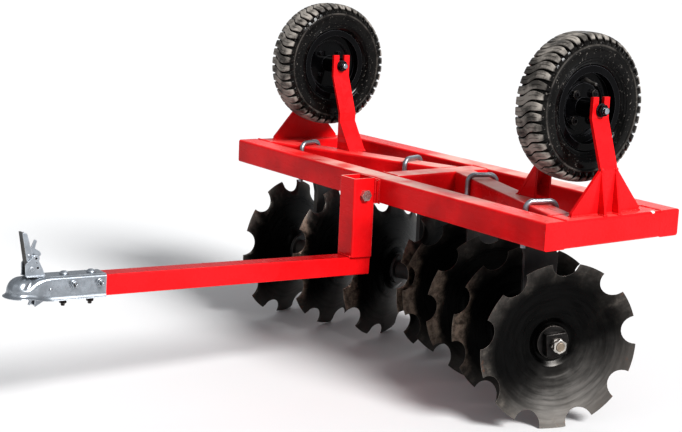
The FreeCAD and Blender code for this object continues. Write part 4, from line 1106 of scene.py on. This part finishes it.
def flat_plate(outline, thick, at_y=0.0, holes=()):
    """A flat plate in the XZ plane from at_y to at_y + thick, with round holes (x, z, radius)."""
    loops = [outline]
    for x, z, radius in holes:
        turns = [math.tau * k / 16 for k in range(16)]
        loops.append([(x + radius * math.cos(turn), z + radius * math.sin(turn)) for turn in turns])
    plate = bmesh.new()
    edges = []
    for loop in loops:
        verts = [plate.verts.new((x, at_y, z)) for x, z in loop]
        edges += [plate.edges.new((verts[k - 1], verts[k])) for k in range(len(verts))]
    bmesh.ops.triangle_fill(plate, use_beauty=True, edges=edges)
    other_face = bmesh.ops.extrude_face_region(plate, geom=plate.faces[:])["geom"]
    bmesh.ops.translate(plate, verts=[item for item in other_face if isinstance(item, bmesh.types.BMVert)],
                        vec=(0.0, thick, 0.0))
    bmesh.ops.recalc_face_normals(plate, faces=plate.faces)
    return settled(plate, "plate")


def laid_plate(outline, thick, high):
    """A plate of (ahead, aside) points, lying with its underside at this height."""
    return placed(flat_plate(outline, thick), shifted(0, 0, high) @ turned(90))


def rivet(x, y, z, radius, way, high):
    """A domed rivet head on a plate, pointing along way on Y."""
    turns = [math.pi / 2 * k / 4 for k in range(1, 4)]
    dome = [(high * math.sin(turn), radius * math.cos(turn)) for turn in turns]
    head = revolved("rivet", [(0.0, 0.0), (0.0, radius)] + dome + [(high, 0.0)], 16)
    return placed(head, seat((x, y, z), (0, way, 0)))


def coupler_bracket(part):
    """Two cheeks with holes and rivets on a flanged foot beside the lever, and thin black sheets on the
    cheeks' inner faces that are a painted shade.
    """
    top = part.dome - part.ball_below
    inner_face = 0.0088
    cheek = rounded([(0.0125, top), (0.0140, 0.0105), (0.0040, 0.0195), (-0.0030, 0.0280), (-0.0120, 0.0280),
                     (-0.0165, 0.0225), (-0.0140, 0.0165), (-0.0220, 0.0015), (-0.0300, top)], 0.0040)
    holes = ((-0.0085, 0.0212, 0.0026), (-0.0100, 0.0120, 0.0015), (-0.0125, 0.0015, 0.0027))
    shade_liner = rounded([(-0.0020, -0.0060), (-0.0020, 0.0250), (-0.0125, 0.0250), (-0.0175, -0.0060)], 0.002)
    made, shade_liners = [], []
    for way in (1, -1):
        inner = way * inner_face
        outer = inner + way * part.sheet
        made.append(flat_plate(cheek, way * part.sheet, inner, holes))
        shade_liners.append(flat_plate(shade_liner, -way * 0.0002, inner))
        made.append(rivet(0.0, outer, 0.0, 0.0044, way, 0.0022))
        # foot flange, turned outwards on the shell
        foot = rounded([(0.0125, outer), (0.0125, outer + way * 0.0045), (-0.0280, outer + way * 0.0045),
                        (-0.0280, outer)], 0.002)
        made.append(laid_plate(foot, 0.0024, top))
    reach = inner_face + part.sheet
    base = laid_plate([(0.0115, -reach), (0.0115, reach), (-0.0270, reach), (-0.0270, -reach)], 0.002, top)
    pin = revolved("pin", [(-0.0138, 0.0), (-0.0138, 0.004), (0.0138, 0.004), (0.0138, 0.0)], 20)
    return made + [base, placed(pin, seat((0, 0, 0), (0, 1, 0)))], shade_liners


def pull_tab(part):
    """The ball clamp's lower end: two folded cheeks, their sloping web, and a thin finger ahead."""
    low = -part.ball_below - part.skirt
    front = part.ball_ahead - 0.0265
    half, sheet = 0.011, 0.0025
    cheek = rounded([(front, low + 0.004), (front, low - 0.0225), (front - 0.046, low + 0.004)], 0.002)
    slope = [(front - 0.0015, low - 0.0215), (front - 0.0460, low + 0.0040), (front - 0.0420, low + 0.0040),
             (front - 0.0015, low - 0.0190)]
    finger = [(front + 0.0040, low + 0.002), (front + 0.0115, low - 0.0170), (front + 0.0150, low - 0.0160),
              (front + 0.0090, low + 0.002)]
    return [flat_plate(cheek, way * sheet, way * (half - sheet)) for way in (1, -1)] + [
        flat_plate(slope, 2 * half - 0.002, -half + 0.001), flat_plate(finger, 0.004, 0.010)]


def lever_parts():
    """The hand lever's two cheeks with their rivets, its front web, and the safety catch."""
    half, sheet = 0.0083, 0.0025
    side = rounded([(0.0068, 0.0), (0.0218, 0.0750), (0.0118, 0.0735), (-0.0015, 0.0300), (-0.0050, 0.0060),
                    (-0.0060, -0.0070), (0.0, -0.0110), (0.0060, -0.0070)], 0.003)
    front = rounded([(0.0040, -0.0080), (0.0080, -0.0080), (0.0230, 0.0752), (0.0190, 0.0752)], 0.0008)
    hook = rounded([(0.0075, 0.0215), (0.0085, 0.0300), (-0.0005, 0.0400), (-0.0075, 0.0585),
                    (-0.0130, 0.0565), (-0.0090, 0.0400), (-0.0190, 0.0345), (-0.0235, 0.0275),
                    (-0.0195, 0.0225), (-0.0100, 0.0245)], 0.002)
    cheeks = []
    for way in (1, -1):
        cheeks += [flat_plate(side, way * sheet, way * (half - sheet)),
                   rivet(0.0060, way * half, 0.0270, 0.0036, way, 0.0022)]
    return cheeks, flat_plate(front, 2 * half - 0.0006, -half + 0.0003), flat_plate(hook, sheet, -sheet / 2)


# across the flats of the coupler's nuts
FLATS = 0.013


def domed_head():
    """A low flanged bolt head along X."""
    return revolved("head", [(0.0, 0.0), (0.0, 0.0096), (0.0008, 0.0100), (0.0020, 0.0097), (0.0036, 0.0086),
                             (0.0050, 0.0068), (0.0060, 0.0044), (0.0064, 0.0022), (0.0065, 0.0)], 32)


def bolt_set(head_at, nut_at, tail):
    """A bolt on X: washer and head beyond head_at, washer and nut beyond nut_at, its end at tail."""
    bore, thick = M8[0], 0.0017
    washer = [(0.0, 0.0042), (0.0, 0.0083), (0.0004, 0.0086), (0.0013, 0.0086), (thick, 0.0083),
              (thick, 0.0042)]
    at_head, at_nut = shifted(head_at), shifted(nut_at) @ turned(180, "Z")
    made = [bar_end(head_at, tail, 0.0040, 0.0008)]
    for high, place in ((0.0055, at_head), (0.0065, at_nut)):
        made.append(placed(revolved("washer", washer, 28), place))
        made.append(placed(placed(hex_nut(FLATS, high, bore), shifted(thick)), place))
        if place is at_head:
            # a plug closes the head
            made.append(placed(bar_end(0.0, thick + high + 0.0004, bore, 0.0006), place))
    return joined("bolt", made)


# bolts of the sleeve, ahead of its rear end
UPRIGHT_BOLTS_AT, CROSS_BOLTS_AT = (0.024, 0.084), (0.015, 0.073)


def add_coupler():
    """The coupler's shell, bracket, lever, bolts and ball clamp."""
    part = bpy.context.scene.cultivator_coupler
    # from the lever's pin, X along the drawbar, to the machine
    place = Matrix.Translation(LEVER_AT) @ Matrix.Rotation(-part.rise, 4, "Y")

    def put(name, meshes, skin_name, replaced=(), crease=35, body="frame"):
        piece(name, placed(joined(name, meshes), place), body, skin_name, crease, replaces=replaced)

    low = -part.ball_below - part.skirt
    # the ball clamp's plate stands across the socket, behind the ball
    clamp = placed(flat_plate([(0.0, -0.0215), (0.0, 0.0215), (0.034, 0.0215), (0.034, -0.0215)], 0.004),
                   shifted(part.ball_ahead - 0.0255, 0, low) @ turned(90, "Z") @ turned(-90, "Y"))
    rivets = [rivet(-0.036, way * (part.sleeve_half + 0.0008), -0.042, 0.0036, way, 0.0014)
              for way in (1, -1)]
    put("coupler_shell", [coupler_shell(part), clamp] + rivets, "bright_zinc",
        ("coupler_body",), crease=42)
    bracket, shade_liners = coupler_bracket(part)
    put("coupler_cheeks", bracket, "dull_zinc", ("coupler_bracket",))
    # painted shade: thin black sheets darken the inner faces of the bracket's cheeks
    put("coupler_liners", shade_liners, "satin_black")
    put("ball_clamp_tab", pull_tab(part), "dull_zinc", ("ball_clamp",))
    cheeks, web, catch = lever_parts()
    put("lever_cheeks", cheeks, "dull_zinc", ("coupler_lever",), body="lever")
    # painted shade: the lever's front web gets satin black, a dark finish that stands in for the shade it
    # sits in
    put("lever_web_painted_shade", [web], "satin_black", body="lever")
    put("safety_catch", [catch], "dull_zinc", body="lever")

    # two upright bolts with low heads, locked by a second nut, and two bolts across the sleeve
    rear = -part.sleeve_behind
    level = -part.ball_below + 0.003
    below, side = part.dome - 0.006, part.sleeve_half
    heads, upright, cross, tails = [], [], [], []
    for ahead in UPRIGHT_BOLTS_AT:
        x = rear + ahead
        heads.append(placed(domed_head(), seat((x, 0, level + part.dome - 0.003), (0, 0, 1))))
        lock = placed(hex_nut(FLATS, 0.0055, M8[0]), shifted(-below - 0.0140))
        bolt = joined("bolt", [bolt_set(0.0, -below, -below - 0.0195), lock])
        upright.append(placed(bolt, shifted(x, 0, level) @ turned(-90, "Y")))
        tails.append(((x, 0, level - below - 0.0090), (0, 0, -1)))
    for ahead in CROSS_BOLTS_AT:
        x, z = rear + ahead, level + 0.008
        cross.append(placed(bolt_set(side, -side, -side - 0.0182), shifted(x, 0, z) @ turned(-90, "Z")))
        tails.append(((x, side + 0.0075, z), (0, 1, 0)))
    put("coupler_heads", heads, "dull_zinc", ("coupler_bolts",), 30)
    put("coupler_upright_bolts", upright, "black_oxide", crease=30)
    put("coupler_cross_bolts", cross, "bright_zinc", crease=30)
    ends = [(place @ Vector(start), place.to_3x3() @ Vector(way), 0.0100) for start, way in tails]
    threads("coupler_threads", "black_oxide", M8, ends)


# ------------------------------------------------------------------ welds
# an outer arm's fins, behind and ahead of the wheel's axle
FINS_AT = (-0.0215, 0.0215)
FIN_HALF = 0.003
FIN_FOOT_END = 0.597
# an outer arm's foot plate: its outer face beyond the wheel's middle, and its thickness
ARM_OUT, ARM_PLATE = 0.1015, 0.008
INNER_ARM_PLATE = 0.010
DRAWBAR_HALF = 0.0225


def weld_lines():
    """Start and end of every red bead on the frame, left side first."""
    lines = []
    seams = (FRONT_SEAM_X, REAR_SEAM_X)
    top = FRAME_TOP - 0.0012
    for name, side in SIDES:
        low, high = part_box(name + "_end_rail")
        lines += [((x, low.y + 0.004, top), (x, high.y - 0.004, top)) for x in seams]
        # outer arm's foot and fins, then the inner arm's foot
        low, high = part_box(name + "_outer_arm")
        plate_y = side * (WHEEL_AT.y + ARM_OUT)
        for y in (plate_y, plate_y - side * ARM_PLATE):
            lines.append(((low.x, y, FRAME_TOP), (high.x, y, FRAME_TOP)))
        for x in (WHEEL_AT.x + fin + face for fin in FINS_AT for face in (-FIN_HALF, FIN_HALF)):
            lines.append(((x, plate_y, FRAME_TOP), (x, side * FIN_FOOT_END, FRAME_TOP)))
        low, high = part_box(name + "_inner_arm")
        foot = low.y if side > 0 else high.y
        for y in (foot, foot + side * INNER_ARM_PLATE):
            lines.append(((low.x, y, FRAME_TOP), (high.x, y, FRAME_TOP)))
    low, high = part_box("centre_beam")
    lines += [((x, low.y + 0.005, top), (x, high.y - 0.005, top)) for x in seams]
    # post plate on the front rail, post on its plate
    plate_low, plate_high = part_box("post_plate")
    post_low, post_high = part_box("drawbar_post")
    face_x = plate_low.x
    for y in (plate_low.y, plate_high.y):
        lines.append(((face_x, y, plate_low.z), (face_x, y, plate_high.z)))
    lines.append(((face_x, plate_low.y, plate_high.z), (face_x, plate_high.y, plate_high.z)))
    for y in (post_low.y, post_high.y):
        lines.append(((post_low.x, y, plate_low.z), (post_low.x, y, post_high.z - 0.004)))
    # post's foot on the rising drawbar
    rear_z = post_low.z + 0.001
    front_z = rear_z + 0.0024
    for y in (-DRAWBAR_HALF, DRAWBAR_HALF):
        lines.append(((post_low.x, y, rear_z), (post_high.x, y, front_z)))
    lines.append(((post_high.x, -DRAWBAR_HALF, front_z), (post_high.x, DRAWBAR_HALF, front_z)))
    return lines


def add_welds():
    trim = bpy.context.scene.cultivator_trim
    lines = weld_lines()
    paths = bpy.data.meshes.new("weld_paths")
    paths.from_pydata([tuple(point) for line in lines for point in line],
                      [(2 * k, 2 * k + 1) for k in range(len(lines))], [])
    beads = [grown(paths, "weld_bead", Width=trim.weld_width, Ripple=trim.weld_pitch, Seed=3)]
    # the beads up each outer fin end in a blob at its top
    blob_y, blob_z = WHEEL_AT.y + ARM_OUT - 0.0005, WHEEL_AT.z - trim.fin_top
    for _, side in SIDES:
        beads += [rivet(WHEEL_AT.x + fin, side * blob_y, blob_z, 0.0050, side, 0.0045) for fin in FINS_AT]
    piece("frame_welds", joined("welds", beads), "frame", "red_powder_coat", 70)


# ------------------------------------------------------------------ operators
class CULTIVATOR_OT_stage(bpy.types.Operator):
    """Make the floor, the soft light and the camera"""
    bl_idname = "cultivator.stage"
    bl_label = "Stage"

    def execute(self, context):
        scene = context.scene
        studio = scene.cultivator_studio
        scene.view_settings.view_transform = "Standard"
        scene.view_settings.look = "Medium High Contrast"
        reach = 90.0
        floor_mesh = skin("floor", [[(x, -reach, 0), (x, reach, 0)] for x in (-reach, reach)])
        floor_mesh.materials.append(finish("pale_floor"))
        floor = bpy.data.objects.new("floor", floor_mesh)
        scene.collection.objects.link(floor)

        world = bpy.data.worlds.new("studio_room")
        world.use_nodes = True
        room = world.node_tree.nodes["Background"].inputs
        room["Color"].default_value = (0.93, 0.96, 1.0, 1.0)
        room["Strength"].default_value = studio.sky
        scene.world = world
        # (name, strength, softness in degrees, direction towards the light)
        suns = (("key_sun", studio.key, 22.0, (-0.10, 0.80, 0.62)),
                ("front_fill", studio.fill, 50.0, (0.9, 0.25, 0.5)),
                ("back_light", studio.back, 40.0, (-0.7, -0.6, 0.6)))
        for name, strength, softness, towards in suns:
            lamp = bpy.data.lights.new(name, "SUN")
            lamp.energy = strength
            lamp.angle = math.radians(softness)
            sun = bpy.data.objects.new(name, lamp)
            sun.rotation_euler = Vector(towards).to_track_quat("Z", "Y").to_euler()
            scene.collection.objects.link(sun)

        lens = bpy.data.cameras.new("camera")
        lens.lens = studio.lens
        lens.sensor_width = 36.0
        lens.shift_x = studio.shift_x
        lens.shift_y = studio.shift_y
        lens.clip_end = 500.0
        camera = bpy.data.objects.new("camera", lens)
        level = math.cos(studio.tilt)
        look = Vector((level * math.cos(studio.heading), level * math.sin(studio.heading),
                       math.sin(studio.tilt)))
        turn = look.to_track_quat("-Z", "Y").to_matrix().to_4x4()
        camera.matrix_world = Matrix.Translation(studio.eye) @ turn @ Matrix.Rotation(studio.roll, 4, "Z")
        scene.collection.objects.link(camera)
        scene.camera = camera
        return {"FINISHED"}


class CULTIVATOR_OT_finishes(bpy.types.Operator):
    """Give every construction piece its finish"""
    bl_idname = "cultivator.finishes"
    bl_label = "Finishes"

    def execute(self, context):
        for node in frame["nodes"].values():
            slot = node.data.materials[0].name.split(".")[0]
            node.data.materials[0] = finish(NODE_FINISHES.get(node.name) or SLOT_FINISHES[slot])
        return {"FINISHED"}


class CULTIVATOR_OT_blades(bpy.types.Operator):
    """Make the eight notched disc blades"""
    bl_idname = "cultivator.blades"
    bl_label = "Disc blades"

    def execute(self, context):
        add_blades()
        return {"FINISHED"}


class CULTIVATOR_OT_tyres(bpy.types.Operator):
    """Make the two treaded tyres"""
    bl_idname = "cultivator.tyres"
    bl_label = "Tyres"

    def execute(self, context):
        add_tyres()
        return {"FINISHED"}


class CULTIVATOR_OT_wheel_fittings(bpy.types.Operator):
    """Make the wheel nuts and valves"""
    bl_idname = "cultivator.wheel_fittings"
    bl_label = "Wheel fittings"

    def execute(self, context):
        add_wheel_fittings()
        return {"FINISHED"}


class CULTIVATOR_OT_threads(bpy.types.Operator):
    """Cut threads on the bolts' and studs' ends"""
    bl_idname = "cultivator.threads"
    bl_label = "Threads"

    def execute(self, context):
        add_threads()
        return {"FINISHED"}


class CULTIVATOR_OT_hubs(bpy.types.Operator):
    """Make the gangs' hub plates, washers, nuts and studs"""
    bl_idname = "cultivator.hubs"
    bl_label = "Gang hubs"

    def execute(self, context):
        add_hubs()
        return {"FINISHED"}


class CULTIVATOR_OT_coupler(bpy.types.Operator):
    """Make the ball coupler's shell, bracket, lever and bolts"""
    bl_idname = "cultivator.coupler"
    bl_label = "Ball coupler"

    def execute(self, context):
        add_coupler()
        return {"FINISHED"}


class CULTIVATOR_OT_welds(bpy.types.Operator):
    """Lay the weld beads"""
    bl_idname = "cultivator.welds"
    bl_label = "Welds"

    def execute(self, context):
        add_welds()
        return {"FINISHED"}


OPERATORS = (CULTIVATOR_OT_stage, CULTIVATOR_OT_finishes, CULTIVATOR_OT_blades, CULTIVATOR_OT_tyres,
             CULTIVATOR_OT_wheel_fittings, CULTIVATOR_OT_hubs, CULTIVATOR_OT_coupler, CULTIVATOR_OT_threads,
             CULTIVATOR_OT_welds)


class CULTIVATOR_PT_panel(bpy.types.Panel):
    """Lists the steps and their sizes"""
    bl_idname = "CULTIVATOR_PT_panel"
    bl_label = "Disc cultivator"
    bl_space_type = "VIEW_3D"
    bl_region_type = "UI"
    bl_category = "Cultivator"

    def draw(self, context):
        for step in OPERATORS:
            self.layout.operator(step.bl_idname)
        for group, attribute in GROUPS:
            box = self.layout.box()
            for name in group.__annotations__:
                box.prop(getattr(context.scene, attribute), name)


def register():
    for group, attribute in GROUPS:
        bpy.utils.register_class(group)
        setattr(bpy.types.Scene, attribute, bpy.props.PointerProperty(type=group))
    for step in OPERATORS:
        bpy.utils.register_class(step)
    bpy.utils.register_class(CULTIVATOR_PT_panel)


def unregister():
    bpy.utils.unregister_class(CULTIVATOR_PT_panel)
    for step in reversed(OPERATORS):
        bpy.utils.unregister_class(step)
    for group, attribute in reversed(GROUPS):
        delattr(bpy.types.Scene, attribute)
        bpy.utils.unregister_class(group)


def main():
    register()
    bpy.ops.cultivator.stage()
    bpy.ops.cultivator.finishes()
    bpy.ops.cultivator.blades()
    bpy.ops.cultivator.tyres()
    bpy.ops.cultivator.wheel_fittings()
    bpy.ops.cultivator.hubs()
    bpy.ops.cultivator.coupler()
    bpy.ops.cultivator.threads()
    bpy.ops.cultivator.welds()


if __name__ == "__main__":
    main()
